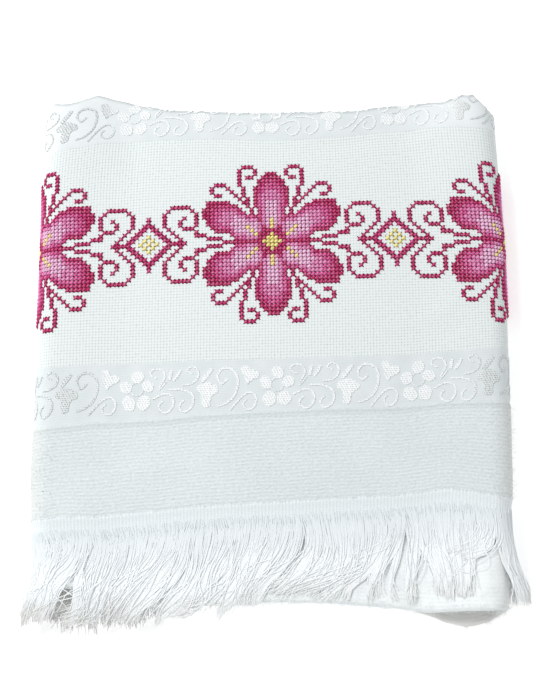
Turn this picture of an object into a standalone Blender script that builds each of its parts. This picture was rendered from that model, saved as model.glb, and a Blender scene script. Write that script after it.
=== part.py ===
"""A hand towel folded in thirds with both sides folded behind, and a fringed end.

The towel is one cloth, 480 mm wide. It is folded twice across its length, so that
its decorated end lies on top, its middle lies at the bottom and its plain end lies
between them. Then the three layers together are folded behind at both sides.

Every point is first placed in the flat stack, by how far across it is, how far
along (y) and how deep it lies under the outer face. place() then folds the stack's
sides. All sizes are in millimetres until a point is stored.

Frame: origin at the middle of the underside, +X to the right across the towel,
+Y away from the fringe, +Z up.
"""

import math

import bmesh
import bpy
from mathutils import Vector

MM = 0.001

# The cloth
CLOTH_WIDTH = 480.0
VELOUR_THICK = 2.6
WOVEN_THICK = 1.4
WOVEN_RECESS = 0.6
LAYER_GAP = 0.7
STEP_WIDTH = 1.0
SEAM_GAP = 0.35

# The stack of three layers, measured down from its outer face
MIDDLE_FACE = VELOUR_THICK + LAYER_GAP
LOWER_BACK = MIDDLE_FACE + VELOUR_THICK + LAYER_GAP
STACK = LOWER_BACK + VELOUR_THICK
TOP_BEND = STACK / 2
BOTTOM_BEND = (STACK - MIDDLE_FACE) / 2
PLAIN_END_INSET = 8.0

# The side folds
CENTRE_HEIGHT = 19.6
BEND_RADIUS = 11.0
SHOULDER_START = 0.64
RIPPLE = {"height": 0.3, "x_length": 34.0, "y_length": 41.0}
CREASE = {"depth": 1.6, "x": 108.0, "y": -108.0, "wide": 11.0, "long": 6.0, "slant": 0.35}
FLAP_DROOP = 1.2
DROOP_START = -92.0
DROOP_LENGTH = 18.0
NOMINAL_FLAT = 119.0
NOMINAL_BEND = 36.0
NOMINAL_FLAP = 86.0

# Half the folded width, measured along the towel
HALF_WIDTH = {
    "along": (-135, -85, -60, -32, 18, 60, 105, 150),
    "left": (127.5, 130, 131.5, 131, 131.5, 131.5, 132, 131),
    "right": (129, 130, 131, 131.5, 132, 132, 130.5, 128.5),
}

# How much looser a side fold is near each end: (along, spread, extra radius)
LOOSE_ENDS = {
    "left": ((-138, 34, 2.0), (142, 40, 2.0)),
    "right": ((-138, 42, 3.0), (142, 40, 2.0)),
}

# Where the two folds across the length lie. The key runs from -3 to 3 across the
# towel: up to 1 is the top, 1 to 2 is the side fold, 2 to 3 is the flap behind.
TOP_FOLD = (
    (-3.0, 149), (-2.0, 151), (-1.5, 152), (-1.25, 152), (-1.09, 150.5), (-0.99, 150.5),
    (-0.94, 152.3), (-0.9, 154.5), (-0.85, 157), (-0.74, 154.5), (-0.6, 151), (-0.48, 149),
    (-0.14, 148), (0.0, 148), (0.4, 149), (0.58, 151.8), (0.76, 152.8), (0.85, 153),
    (0.89, 154.2), (0.94, 156.3), (1.0, 156), (1.1, 152.5), (1.25, 149), (1.5, 147.5),
    (2.0, 149), (3.0, 149),
)
BOTTOM_FOLD = (
    (-3.0, -132), (-2.3, -133), (-2.0, -134), (-1.7, -131), (-1.4, -126), (-1.0, -123),
    (-0.85, -124.5), (-0.42, -129), (0.0, -130.5), (0.26, -131), (0.55, -133.5), (0.72, -136),
    (0.92, -135), (1.4, -134.5), (1.7, -137), (2.0, -141), (2.1, -143.5), (2.2, -141.5),
    (2.32, -137), (2.42, -134), (2.52, -131), (2.65, -128.5), (3.0, -128),
)

# Lines woven across the decorated end: where each lies, by distance across
BAND_LINES = {
    "across": (-125, -110, -95, -65, -35, 0, 35, 65, 95, 125),
    "front_edge": (-88.5, -87, -87, -84, -81, -79, -77, -75.5, -72, -76),
    "velour_top": (-39.5, -38, -36, -34.5, -31.5, -29.5, -28, -27.5, -25, -24.5),
    "ribbon_top": (-5, -4, -3, -2, -0.5, 0.5, 1.5, 2.5, 4.5, 6.5),
    "aida_top": (119.5, 122.5, 126.5, 129, 130, 129, 131, 134, 136, 134),
}

# Moves the middle of the whole part's box onto the origin
FRAME_SHIFT = (-0.68, 1.99, 0.0)

# Columns across the towel and rows along it
TOP_COLUMNS = (0.0, 0.22, 0.44, 0.6, 0.68, 0.75, 0.82, 0.88, 0.94, 1.0)
BEND_STEPS = 8
FLAP_COLUMNS = (2.1, 2.2, 2.33, 2.6, 3.0)
VELOUR_ROWS = 4
RIBBON_ROWS = 2
AIDA_ROWS = 7
TOP_RIBBON_ROWS = 2
TOP_BEND_ROWS = 5
LOWER_ROWS = 11
BOTTOM_BEND_ROWS = 4
MIDDLE_ROW_STOPS = (0.0, 0.05, 0.1, 0.15, 0.22, 0.32, 0.45, 0.6, 0.75, 0.88, 0.95, 1.0)

# The heading and the fringe
HEADING = 11.0
HEADING_THICK = 1.4
HEADING_DEPTH = 0.5
HEADING_SAG = 0.6
LOCK_PITCH = 3.1
FLAP_LOCK_PITCH = 4.3
LOCK_HALF_THICK = 0.45
LOCK_DEPTH = 1.75
ROOT_REACH = 4.0
LENGTH_SPREAD = 0.09
CLUMP_TURN = 3.5
LEAST_ON_CLOTH = 8.0
FLAP_LOCK = {"left": 50.0, "right": 44.0}
FLAP_LENGTH_SPREAD = 0.06
FLAP_TIP_SHIFT = 0.5
EDGE_OVERHANG = 2.0
SHORTEST_TIP = 4.0
HANG_SLOPE = math.radians(30)
HANG_HEIGHT = 22.0
STACKED_FLOOR = 2.0
SIDE_FAN = 7.0

# How the locks lie: distance across, length, sweep in degrees, pull into clumps
LOCK_LIE = {
    "across": (-150, -125, -95, -60, -20, 25, 60, 85, 100, 112, 128, 150),
    "length": (36, 42, 62, 66, 50, 45, 43, 38, 35, 38, 42, 38),
    "sweep": (0, -9, -16, -21, -13, -7, -8, 0, -2, 6, 8, 0),
    "clump": (0.0, 0.12, 0.25, 0.3, 0.35, 0.4, 0.4, 0.4, 0.4, 0.35, 0.2, 0.0),
}
CLUMP_WIDTH = 17.0
LOCK_TAPER = (0.52, 0.44, 0.36, 0.27)


def smooth(value):
    """Ease from 0 to 1."""
    t = min(1.0, max(0.0, value))
    return t * t * (3 - 2 * t)


def read(keys, values, key):
    """Read a short table with an eased step between its entries."""
    if key <= keys[0]:
        return values[0]
    for i in range(len(keys) - 1):
        if key <= keys[i + 1]:
            share = (key - keys[i]) / (keys[i + 1] - keys[i])
            blend = 0.5 * share + 0.5 * smooth(share)
            return values[i] + (values[i + 1] - values[i]) * blend
    return values[-1]


def chance(number, kind):
    """A fixed uneven value from -1 to 1 for a lock's number."""
    raw = math.sin(number * 12.9898 + kind * 78.233) * 43758.5453
    return 2 * (raw - math.floor(raw)) - 1


def side_name(key):
    """Which side of the towel a key across it is on."""
    return "left" if key < 0 else "right"


def half_width(key, y):
    """Half the folded width at y."""
    return read(HALF_WIDTH["along"], HALF_WIDTH[side_name(key)], y)


def bend_radius(key, y):
    """Outer radius of the side fold, looser near its ends."""
    radius = BEND_RADIUS
    for middle, spread, extra in LOOSE_ENDS[side_name(key)]:
        radius += extra * math.exp(-((y - middle) / spread) ** 2)
    return radius


def top_height(reach, radius, x, y):
    """Height of the top: level in the middle and rising to each side fold."""
    rise = smooth((reach - SHOULDER_START) / (1 - SHOULDER_START))
    wave = math.sin(x / RIPPLE["x_length"] + 0.6) * math.sin(y / RIPPLE["y_length"] + 1.1)
    ripple = RIPPLE["height"] * wave * (1 - rise)
    across = x - CREASE["x"]
    along = y - CREASE["y"] + CREASE["slant"] * across
    dip = math.exp(-(across / CREASE["wide"]) ** 2 - (along / CREASE["long"]) ** 2)
    crease = CREASE["depth"] * dip * (1 - smooth((reach - 0.9) / 0.1))
    return CENTRE_HEIGHT + (2 * radius - CENTRE_HEIGHT) * rise + ripple - crease


def place(key, y, depth, middle=None):
    """Fold the flat stack's sides behind it. middle is the depth of the cloth's middle."""
    side = math.copysign(1.0, key)
    reach = abs(key)
    radius = bend_radius(key, y)
    flat = half_width(key, y) - radius
    droop = FLAP_DROOP * smooth((DROOP_START - y) / DROOP_LENGTH) * smooth((reach - 1.5) / 0.5)
    if reach <= 1:
        x = flat * reach
        z = top_height(reach, radius, side * x, y) - depth
    elif reach <= 2:
        turn = (reach - 1) * math.pi
        x = flat + (radius - depth) * math.sin(turn)
        z = radius + (radius - depth) * math.cos(turn)
    else:
        layer_radius = radius - (depth if middle is None else middle)
        flap = CLOTH_WIDTH / 2 - math.pi * layer_radius - flat
        x = flat - (reach - 2) * flap
        z = depth
    if depth > VELOUR_THICK:
        z -= droop
    return Vector((side * x, y, z))


def key_of(across):
    """The key for a distance across the outer face, from the middle."""
    distance = abs(across)
    if distance <= NOMINAL_FLAT:
        key = distance / NOMINAL_FLAT
    elif distance <= NOMINAL_FLAT + NOMINAL_BEND:
        key = 1 + (distance - NOMINAL_FLAT) / NOMINAL_BEND
    else:
        key = 2 + (distance - NOMINAL_FLAT - NOMINAL_BEND) / NOMINAL_FLAP
    return math.copysign(min(key, 3.0), across)


def across_of(key):
    """The reverse of key_of."""
    reach = abs(key)
    flat = min(reach, 1) * NOMINAL_FLAT
    bend = min(max(reach - 1, 0), 1) * NOMINAL_BEND
    return math.copysign(flat + bend + max(reach - 2, 0) * NOMINAL_FLAP, key)


def fold_line(table, key):
    """Where a fold across the length lies."""
    return read([entry[0] for entry in table], [entry[1] for entry in table], key)


def band_line(name, key):
    """Where a woven line of the decorated end lies."""
    return read(BAND_LINES["across"], BAND_LINES[name], across_of(key))


def cloth_columns():
    """The keys of the cloth's columns from one side edge to the other."""
    half = list(TOP_COLUMNS)
    half += [1 + (i + 1) / BEND_STEPS for i in range(BEND_STEPS)]
    half += list(FLAP_COLUMNS)
    return [-key for key in reversed(half[1:])] + half


COLUMNS = cloth_columns()


def front_edge(key):
    """The cloth's front edge, straight from one column to the next."""
    for left, right in zip(COLUMNS, COLUMNS[1:]):
        if key <= right:
            share = (key - left) / (right - left)
            start = band_line("front_edge", left)
            return start + (band_line("front_edge", right) - start) * share
    return band_line("front_edge", COLUMNS[-1])


def on_top(key):
    """1 where the stack's outer face is on top, 0 where it is under."""
    return 1 - smooth((abs(key) - 1.2) / 0.7)


def layer(key, thick):
    """Depths of the outer layer's face and back."""
    face = WOVEN_RECESS * on_top(key) if thick == WOVEN_THICK else 0.0
    return face, face + thick


def outer_row(low, high, share, shift, thick):
    """A row of the decorated end, between two of its woven lines."""
    def points(key):
        y_low = front_edge(key) if low == "front_edge" else band_line(low, key)
        if high == "top_fold":
            y_high = fold_line(TOP_FOLD, key) - TOP_BEND
        else:
            y_high = band_line(high, key)
        y = y_low + (y_high - y_low) * share + shift
        face, back = layer(key, thick)
        return (y, face), (y, back)
    return points


def bend_row(table, sign, centre_depth, radius, angle, thick):
    """A row around one of the folds across the length."""
    def points(key):
        recess = radius - WOVEN_RECESS * on_top(key) if thick == WOVEN_THICK else radius
        middle = fold_line(table, key) - sign * radius
        ring = []
        for r in (recess, recess - thick):
            ring.append((middle + sign * r * math.sin(angle), centre_depth - r * math.cos(angle)))
        return ring
    return points


def level_row(share, face, back, far_inset):
    """A row of the lower or middle layer, from its top end to its bottom end."""
    def points(key):
        y_high = fold_line(TOP_FOLD, key) - TOP_BEND - far_inset
        y_low = fold_line(BOTTOM_FOLD, key) + BOTTOM_BEND
        y = y_high + (y_low - y_high) * share
        return (y, face), (y, back)
    return points


def cloth_rows():
    """All rows along the cloth, from its front edge to its plain end."""
    rows = []
    for i in range(VELOUR_ROWS + 1):
        rows.append(outer_row("front_edge", "velour_top", i / VELOUR_ROWS, 0, VELOUR_THICK))
    for i in range(RIBBON_ROWS):
        shift = STEP_WIDTH if i == 0 else 0
        rows.append(outer_row("velour_top", "ribbon_top", i / RIBBON_ROWS, shift, WOVEN_THICK))
    for i in range(AIDA_ROWS):
        rows.append(outer_row("ribbon_top", "aida_top", i / AIDA_ROWS, 0, WOVEN_THICK))
    for i in range(TOP_RIBBON_ROWS):
        rows.append(outer_row("aida_top", "top_fold", i / TOP_RIBBON_ROWS, 0, WOVEN_THICK))
    for i in range(TOP_BEND_ROWS + 1):
        angle = math.pi * i / TOP_BEND_ROWS
        rows.append(bend_row(TOP_FOLD, 1, TOP_BEND, TOP_BEND, angle, WOVEN_THICK))
    for i in range(LOWER_ROWS):
        share = (i + 0.1) / LOWER_ROWS
        rows.append(level_row(share, STACK, LOWER_BACK, 0))
    centre = (STACK + MIDDLE_FACE) / 2
    for i in range(BOTTOM_BEND_ROWS + 1):
        angle = math.pi * (1 - i / BOTTOM_BEND_ROWS)
        rows.append(bend_row(BOTTOM_FOLD, -1, centre, BOTTOM_BEND, angle, VELOUR_THICK))
    for share in MIDDLE_ROW_STOPS[1:]:
        back = MIDDLE_FACE + VELOUR_THICK
        rows.append(level_row(1 - share, MIDDLE_FACE, back, PLAIN_END_INSET))
    return rows


def slab(columns, rows):
    """A flat closed slab of column by row cells, as a bmesh to be shaped."""
    bm = bmesh.new()
    bmesh.ops.create_grid(bm, x_segments=columns - 1, y_segments=rows - 1, size=0.5)
    grown = bmesh.ops.extrude_face_region(bm, geom=bm.faces[:], use_keep_orig=True)
    new = [item for item in grown["geom"] if isinstance(item, bmesh.types.BMVert)]
    bmesh.ops.translate(bm, vec=Vector((0, 0, 1)), verts=new)
    return bm


def slab_index(vert, columns, rows):
    """Column, row and whether the point is on the back, from the flat slab."""
    column = round((vert.co.x + 0.5) * (columns - 1))
    row = round((vert.co.y + 0.5) * (rows - 1))
    return column, row, vert.co.z < 0.5


def finish_object(bm, name, material):
    """Store a shaped bmesh as an object, in metres from the frame's origin."""
    bmesh.ops.translate(bm, vec=Vector(FRAME_SHIFT), verts=bm.verts[:])
    bmesh.ops.recalc_face_normals(bm, faces=bm.faces[:])
    if bm.calc_volume(signed=True) < 0:
        bmesh.ops.reverse_faces(bm, faces=bm.faces[:])
    bmesh.ops.scale(bm, vec=Vector((MM, MM, MM)), verts=bm.verts[:])
    mesh = bpy.data.meshes.new(name)
    bm.to_mesh(mesh)
    bm.free()
    mesh.materials.append(material)
    mesh.shade_smooth()
    mesh.set_sharp_from_angle(angle=math.radians(50))
    item = bpy.data.objects.new(name, mesh)
    bpy.context.scene.collection.objects.link(item)
    return item


def cotton(name, colour, roughness):
    """A matt cotton finish."""
    material = bpy.data.materials.new(name)
    material.use_nodes = True
    shader = material.node_tree.nodes["Principled BSDF"]
    shader.inputs["Base Color"].default_value = (*colour, 1.0)
    shader.inputs["Roughness"].default_value = roughness
    shader.inputs["Metallic"].default_value = 0.0
    return material


def towel_cloth():
    """The whole cloth as one folded solid."""
    rows = cloth_rows()
    bm = slab(len(COLUMNS), len(rows))
    for vert in bm.verts:
        column, row, is_back = slab_index(vert, len(COLUMNS), len(rows))
        key = COLUMNS[column]
        (face_y, face_depth), (back_y, back_depth) = rows[row](key)
        middle = (face_depth + back_depth) / 2
        if is_back:
            vert.co = place(key, back_y, back_depth, middle)
        else:
            vert.co = place(key, face_y, face_depth, middle)
    return finish_object(bm, "towel_cloth", cotton("white_velour", (0.90, 0.91, 0.93), 0.9))


def lock_columns():
    """Distances across at which the heading is divided into lock roots."""
    turn = NOMINAL_FLAT + NOMINAL_BEND
    count = round(2 * turn / LOCK_PITCH)
    middle = [-turn + 2 * turn * i / count for i in range(count + 1)]
    flap_count = round(NOMINAL_FLAP / FLAP_LOCK_PITCH)
    flap = [turn + NOMINAL_FLAP * (i + 1) / flap_count for i in range(flap_count)]
    return [-a for a in reversed(flap)] + middle + flap


def lie(name, across):
    """How the locks lie at one place across."""
    return read(LOCK_LIE["across"], LOCK_LIE[name], across)


def rest_depth(key):
    """Depth of a lock's middle where it rests on the layer under it."""
    return LOCK_HALF_THICK + (LOCK_DEPTH - LOCK_HALF_THICK) * on_top(key)


def front_lock(across, number):
    """Points along a lock that leaves the heading on top or at a side fold."""
    clump = math.floor(across / CLUMP_WIDTH)
    home = (clump + 0.5) * CLUMP_WIDTH
    usual = lie("length", across)
    length = usual * (1 + LENGTH_SPREAD * chance(number, 1))
    clump_turn = CLUMP_TURN * chance(clump, 2) * lie("clump", across)
    sweep = math.radians(lie("sweep", across) + clump_turn)
    start = front_edge(key_of(across)) - SEAM_GAP - HEADING
    edge = fold_line(BOTTOM_FOLD, key_of(across)) + BOTTOM_BEND - EDGE_OVERHANG
    on_cloth = max(LEAST_ON_CLOTH, (start - edge) / math.cos(sweep))
    if on_cloth < length + SHORTEST_TIP:
        length = max(length, on_cloth + SHORTEST_TIP)
        stops = [ROOT_REACH, on_cloth * 0.5, on_cloth, length]
    else:
        stops = [ROOT_REACH, length * 0.5, length]
    points = []
    for along in stops:
        share = min(1.0, along / usual)
        pull = lie("clump", across) * smooth(share)
        side = across + (home - across) * pull + math.sin(sweep) * along
        key = key_of(side)
        beyond = max(0.0, along - on_cloth)
        y = start - min(along, on_cloth) * math.cos(sweep)
        seat = place(key, y, rest_depth(key), HEADING_THICK / 2)
        fall = min(1.0, beyond * math.sin(HANG_SLOPE) / HANG_HEIGHT)
        floor = LOCK_HALF_THICK + (STACKED_FLOOR - LOCK_HALF_THICK) * on_top(key)
        turn = min(1.0, max(0.0, abs(key) - 1)) * math.pi
        fan = math.copysign(SIDE_FAN * math.sin(turn) ** 2 * share ** 2, key)
        height = max(floor, seat.z * (1 - fall))
        points.append(Vector((seat.x + fan, y - beyond * math.cos(HANG_SLOPE), height)))
    return points


def flap_lock(across, number):
    """Points along a lock that lies under the towel, flat on the surface below."""
    start = front_edge(key_of(across)) - SEAM_GAP - HEADING
    length = FLAP_LOCK[side_name(across)] * (1 + FLAP_LENGTH_SPREAD * chance(number, 3))
    points = []
    for along in (ROOT_REACH, length * 0.55, length):
        seat = place(key_of(across), start - along, LOCK_HALF_THICK, HEADING_THICK / 2)
        shift = FLAP_TIP_SHIFT * chance(number, 4) * along / length
        points.append(Vector((seat.x + shift, start - along, LOCK_HALF_THICK)))
    return points


def grow_lock(bm, face, points, widths, outward):
    """Grow one lock from a root face, ring by ring."""
    bm.normal_update()
    middle = face.calc_center_median()
    edge = face.verts[0].co - middle
    side = (edge - outward * edge.dot(outward)).normalized()
    up = outward
    for k, point in enumerate(points):
        ahead = points[k + 1] if k + 1 < len(points) else point
        way = (ahead - middle).normalized()
        grown = bmesh.ops.extrude_discrete_faces(bm, faces=[face])
        face = grown["faces"][0]
        corners = []
        for vert in face.verts:
            offset = vert.co - middle
            corners.append((math.copysign(1, offset.dot(side)), math.copysign(1, offset.dot(up))))
        side = (side - way * side.dot(way)).normalized()
        turned = side.cross(way)
        up = turned * math.copysign(1, turned.dot(up))
        for vert, (side_sign, up_sign) in zip(face.verts, corners):
            offset = side * (side_sign * widths[k] / 2)
            vert.co = point + offset + up * (up_sign * LOCK_HALF_THICK)
        middle = point


def fringe():
    """The heading strip with its locks, as one solid."""
    across = lock_columns()
    rows = 2
    bm = slab(len(across), rows)
    roots = {}
    for face in bm.faces:
        if all(vert.co.y < -0.49 for vert in face.verts):
            roots[min(slab_index(vert, len(across), rows)[0] for vert in face.verts)] = face
    for vert in bm.verts:
        column, row, is_back = slab_index(vert, len(across), rows)
        key = key_of(across[column])
        y = front_edge(key) - SEAM_GAP - HEADING * (1 - row)
        sag = HEADING_SAG * (1 - row)
        depth = (HEADING_DEPTH + sag) * on_top(key) + (HEADING_THICK if is_back else 0.0)
        vert.co = place(key, y, depth, HEADING_THICK / 2)
    bmesh.ops.recalc_face_normals(bm, faces=bm.faces[:])
    turn = NOMINAL_FLAT + NOMINAL_BEND
    for number in range(len(across) - 1):
        middle = (across[number] + across[number + 1]) / 2
        key = key_of(middle)
        edge = front_edge(key) - SEAM_GAP - HEADING
        outward = (place(key, edge, 0, 0) - place(key, edge, 1, 0)).normalized()
        if abs(middle) < turn:
            points = front_lock(middle, number)
            pitch = LOCK_PITCH
        else:
            points = flap_lock(middle, number)
            pitch = FLAP_LOCK_PITCH
        widths = [pitch * share for share in LOCK_TAPER[:len(points)]]
        grow_lock(bm, roots[number], points, widths, outward)
    return finish_object(bm, "fringe", cotton("fringe_cotton", (0.91, 0.92, 0.94), 0.85))


for old in list(bpy.data.objects):
    bpy.data.objects.remove(old)
towel_cloth()
fringe()
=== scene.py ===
# %% [markdown]
# # A folded hand towel with a cross-stitched border
#
# The towel is one white cloth. Its decorated end has a velour border, a ribbon with
# satin scrolls, a panel of open weave for cross-stitch, and a second ribbon. A strip
# of heading with a long cotton fringe hangs from its front edge.
#
# The CAD model already holds the folded shape, so this lesson first opens it. All
# the new pieces are made in the same frame, in metres, and stay where the CAD is.

# %% Open the frame
import math

import bmesh
import bpy
import numpy as np
from mathutils import Matrix, Vector


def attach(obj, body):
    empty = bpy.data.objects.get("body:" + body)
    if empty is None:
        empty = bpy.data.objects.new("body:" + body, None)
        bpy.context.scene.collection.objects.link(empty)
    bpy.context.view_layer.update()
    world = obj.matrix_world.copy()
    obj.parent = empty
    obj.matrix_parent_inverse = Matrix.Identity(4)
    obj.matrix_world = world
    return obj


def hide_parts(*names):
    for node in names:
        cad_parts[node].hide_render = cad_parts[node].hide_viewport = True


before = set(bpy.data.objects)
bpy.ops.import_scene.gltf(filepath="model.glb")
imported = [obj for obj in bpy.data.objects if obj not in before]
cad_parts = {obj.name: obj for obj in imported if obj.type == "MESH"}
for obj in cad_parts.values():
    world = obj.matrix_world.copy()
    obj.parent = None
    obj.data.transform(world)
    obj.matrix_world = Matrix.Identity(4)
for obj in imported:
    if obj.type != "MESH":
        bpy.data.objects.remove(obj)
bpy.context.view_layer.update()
MM = 0.001


def add_object(name, data):
    """A new object in the scene."""
    item = bpy.data.objects.new(name, data)
    bpy.context.scene.collection.objects.link(item)
    return item


print("nodes:", sorted(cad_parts))

# %% [markdown]
# ## The camera
#
# The towel lies flat and is seen from its fringed side, almost from above. The
# camera stands 674 mm away at 77 degrees above the floor. A lens of 63 mm on a 36 mm
# sensor gives the same narrow view as the picture.

# %% Place the camera
VIEW_TARGET = Vector((3.7, 7.3, 20.0)) * MM
VIEW_DISTANCE = 673.75 * MM
VIEW_ELEVATION = math.radians(77)
LENS, SENSOR = 63, 36

camera_data = bpy.data.cameras.new("camera")
camera_data.lens, camera_data.sensor_width = LENS, SENSOR
camera = add_object("camera", camera_data)
back = Vector((0, -math.cos(VIEW_ELEVATION), math.sin(VIEW_ELEVATION)))
camera.location = VIEW_TARGET + back * VIEW_DISTANCE
camera.rotation_euler = (math.pi / 2 - VIEW_ELEVATION, 0, 0)
bpy.context.scene.camera = camera
print("camera at", [round(v, 3) for v in camera.location])

# %% [markdown]
# ## How the cloth is folded
#
# A folded cloth is easiest to draw flat. Every point gets three flat numbers: how far
# it is across the towel, how far along, and how deep it lies under the outer face.
# One function then folds the two sides behind. The same function carries the cloth,
# the fringe and every stitch, so nothing can float off the cloth.
#
# The numbers below are the CAD model's own. NumPy folds whole arrays of points at
# once, which is much faster than one point after another.

# %% Sizes of the folded cloth, in millimetres
CLOTH_WIDTH = 480.0
VELOUR_THICK, WOVEN_THICK, WOVEN_RECESS, LAYER_GAP = 2.6, 1.4, 0.6, 0.7
MIDDLE_FACE = VELOUR_THICK + LAYER_GAP
LOWER_BACK = MIDDLE_FACE + VELOUR_THICK + LAYER_GAP
STACK = LOWER_BACK + VELOUR_THICK
TOP_BEND = STACK / 2
BOTTOM_BEND = (STACK - MIDDLE_FACE) / 2
PLAIN_END_INSET = 8.0
CENTRE_HEIGHT, BEND_RADIUS, SHOULDER_START = 19.6, 11.0, 0.64
FLAP_DROOP, DROOP_START, DROOP_LENGTH = 1.2, -92.0, 18.0
FLAT, BEND, FLAP = 119.0, 36.0, 86.0
FRAME_SHIFT = np.array((-0.68, 1.99, 0.0))

HALF_WIDTH = {
    "along": (-135, -85, -60, -32, 18, 60, 105, 150),
    "left": (127.5, 130, 131.5, 131, 131.5, 131.5, 132, 131),
    "right": (129, 130, 131, 131.5, 132, 132, 130.5, 128.5),
}
LOOSE_ENDS = {
    "left": ((-138, 34, 2.0), (142, 40, 2.0)),
    "right": ((-138, 42, 3.0), (142, 40, 2.0)),
}
TOP_FOLD = (
    (-3.0, 149), (-2.0, 151), (-1.5, 152), (-1.25, 152), (-1.09, 150.5), (-0.99, 150.5),
    (-0.94, 152.3), (-0.9, 154.5), (-0.85, 157), (-0.74, 154.5), (-0.6, 151), (-0.48, 149),
    (-0.14, 148), (0.0, 148), (0.4, 149), (0.58, 151.8), (0.76, 152.8), (0.85, 153),
    (0.89, 154.2), (0.94, 156.3), (1.0, 156), (1.1, 152.5), (1.25, 149), (1.5, 147.5),
    (2.0, 149), (3.0, 149),
)
BOTTOM_FOLD = (
    (-3.0, -132), (-2.3, -133), (-2.0, -134), (-1.7, -131), (-1.4, -126), (-1.0, -123),
    (-0.85, -124.5), (-0.42, -129), (0.0, -130.5), (0.26, -131), (0.55, -133.5), (0.72, -136),
    (0.92, -135), (1.4, -134.5), (1.7, -137), (2.0, -141), (2.1, -143.5), (2.2, -141.5),
    (2.32, -137), (2.42, -134), (2.52, -131), (2.65, -128.5), (3.0, -128),
)
BAND_LINES = {
    "across": (-125, -110, -95, -65, -35, 0, 35, 65, 95, 125),
    "front_edge": (-88.5, -87, -87, -84, -81, -79, -77, -75.5, -72, -76),
    "velour_top": (-39.5, -38, -36, -34.5, -31.5, -29.5, -28, -27.5, -25, -24.5),
    "ribbon_top": (-5, -4, -3, -2, -0.5, 0.5, 1.5, 2.5, 4.5, 6.5),
    "flower_row": (62.4, 63.4, 64.4, 66.4, 67.6, 68.4, 69.4, 70.4, 69.8, 68.8),
    "panel_top": (119.5, 122.5, 126.5, 129, 130, 129, 131, 134, 136, 134),
}
print("the folded layers are", round(STACK, 1), "mm thick")

# %% [markdown]
# The tables have few entries, so a reader eases from each one to the next. A key
# says on which part of the cloth a point lies: 0 to 1 is the top, 1 to 2 the side
# fold and 2 to 3 the flap behind. On the left it has a minus sign.

# %% Read a table, and turn a distance across into a key
def ease(value):
    """Ease from 0 to 1."""
    t = np.clip(value, 0.0, 1.0)
    return t * t * (3 - 2 * t)


def read(keys, values, key):
    """Read a short table with an eased step between its entries."""
    keys, values = np.asarray(keys, float), np.asarray(values, float)
    key = np.clip(key, keys[0], keys[-1])
    i = np.clip(np.searchsorted(keys, key) - 1, 0, len(keys) - 2)
    share = (key - keys[i]) / (keys[i + 1] - keys[i])
    blend = 0.5 * share + 0.5 * ease(share)
    return values[i] + (values[i + 1] - values[i]) * blend


def key_of(across):
    """Key of a distance across."""
    d = np.abs(across)
    fold = np.where(d <= FLAT + BEND, 1 + (d - FLAT) / BEND, 2 + (d - FLAT - BEND) / FLAP)
    return np.sign(across) * np.minimum(np.where(d <= FLAT, d / FLAT, fold), 3.0)


def fold_line(table, key):
    """Where a fold across the length lies."""
    return read(*zip(*table), key)


def band_line(name, across):
    """Where a woven line of the decorated end lies."""
    return read(BAND_LINES["across"], BAND_LINES[name], across)


def on_top(key):
    """1 where the outer face is on top, 0 where it is under the towel."""
    return 1 - ease((np.abs(key) - 1.2) / 0.7)


print("a point 137 mm across has key", round(float(key_of(137.0)), 2))

# %% [markdown]
# ## Small unevenness of the top
#
# A cloth that someone folded by hand is never level. The CAD model has a slow ripple
# and one crease near its right corner. Here the top also gets a few soft ridges
# where the picture shows light catching the cloth. Each ridge is a short hump, longer
# than it is wide, turned to its own angle.

# %% Ripples, ridges and the crease of the top
# Each ridge: x, y, angle in degrees, half length, half width, height
RIDGES = (
    (98, 30, 27, 17, 4.5, 0.55), (104, 18, 24, 13, 4.0, -0.35),
    (-96, 118, -38, 14, 4.0, 0.7), (-84, 126, -30, 12, 4.0, -0.5),
    (96, 132, 20, 22, 4.0, 0.5), (46, 128, 8, 20, 4.0, -0.35),
    (-118, -30, 82, 30, 3.5, 0.4), (-60, -60, 6, 34, 5.0, 0.35),
    (30, -52, -4, 40, 5.0, -0.3), (84, -48, 10, 26, 5.0, 0.35),
    (-20, 104, 4, 36, 6.0, 0.3), (-70, 20, 12, 36, 6.0, 0.3),
    (60, 96, -8, 30, 5.0, -0.3), (10, 14, 3, 44, 5.0, 0.25),
    (101, -118, -62, 12, 3.0, 1.3), (90, -120, 56, 10, 3.0, -1.1),
    (112, -112, -40, 10, 3.0, -0.9), (120, -122, 60, 9, 3.5, 1.1),
    (74, -128, 10, 12, 3.5, 1.2), (58, -124, -30, 9, 3.0, -0.9),
    (60, -112, 12, 12, 4.0, 0.6), (20, -112, -8, 16, 4.0, 0.4),
)
RIPPLE, RIPPLE_ACROSS, RIPPLE_ALONG = 0.3, 34.0, 41.0
CREASE_AT, CREASE_SLOPE, CREASE_LONG, CREASE_WIDE, CREASE_DEEP = 108.0, 0.35, 11.0, 6.0, 1.6


def top_relief(x, y):
    """Height that the top gains or loses by ripples, ridges and the crease."""
    height = RIPPLE * np.sin(x / RIPPLE_ACROSS + 0.6) * np.sin(y / RIPPLE_ALONG + 1.1)
    for rx, ry, angle, long, wide, rise in RIDGES:
        turn = math.radians(angle)
        ahead = (x - rx) * math.cos(turn) + (y - ry) * math.sin(turn)
        aside = (y - ry) * math.cos(turn) - (x - rx) * math.sin(turn)
        height = height + rise * np.exp(-(ahead / long) ** 2 - (aside / wide) ** 2)
    across = x - CREASE_AT
    along = y + CREASE_AT + CREASE_SLOPE * across
    return height, CREASE_DEEP * np.exp(-(across / CREASE_LONG) ** 2 - (along / CREASE_WIDE) ** 2)


print("most relief:", round(float(top_relief(98.0, 30.0)[0]), 2), "mm")

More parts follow.
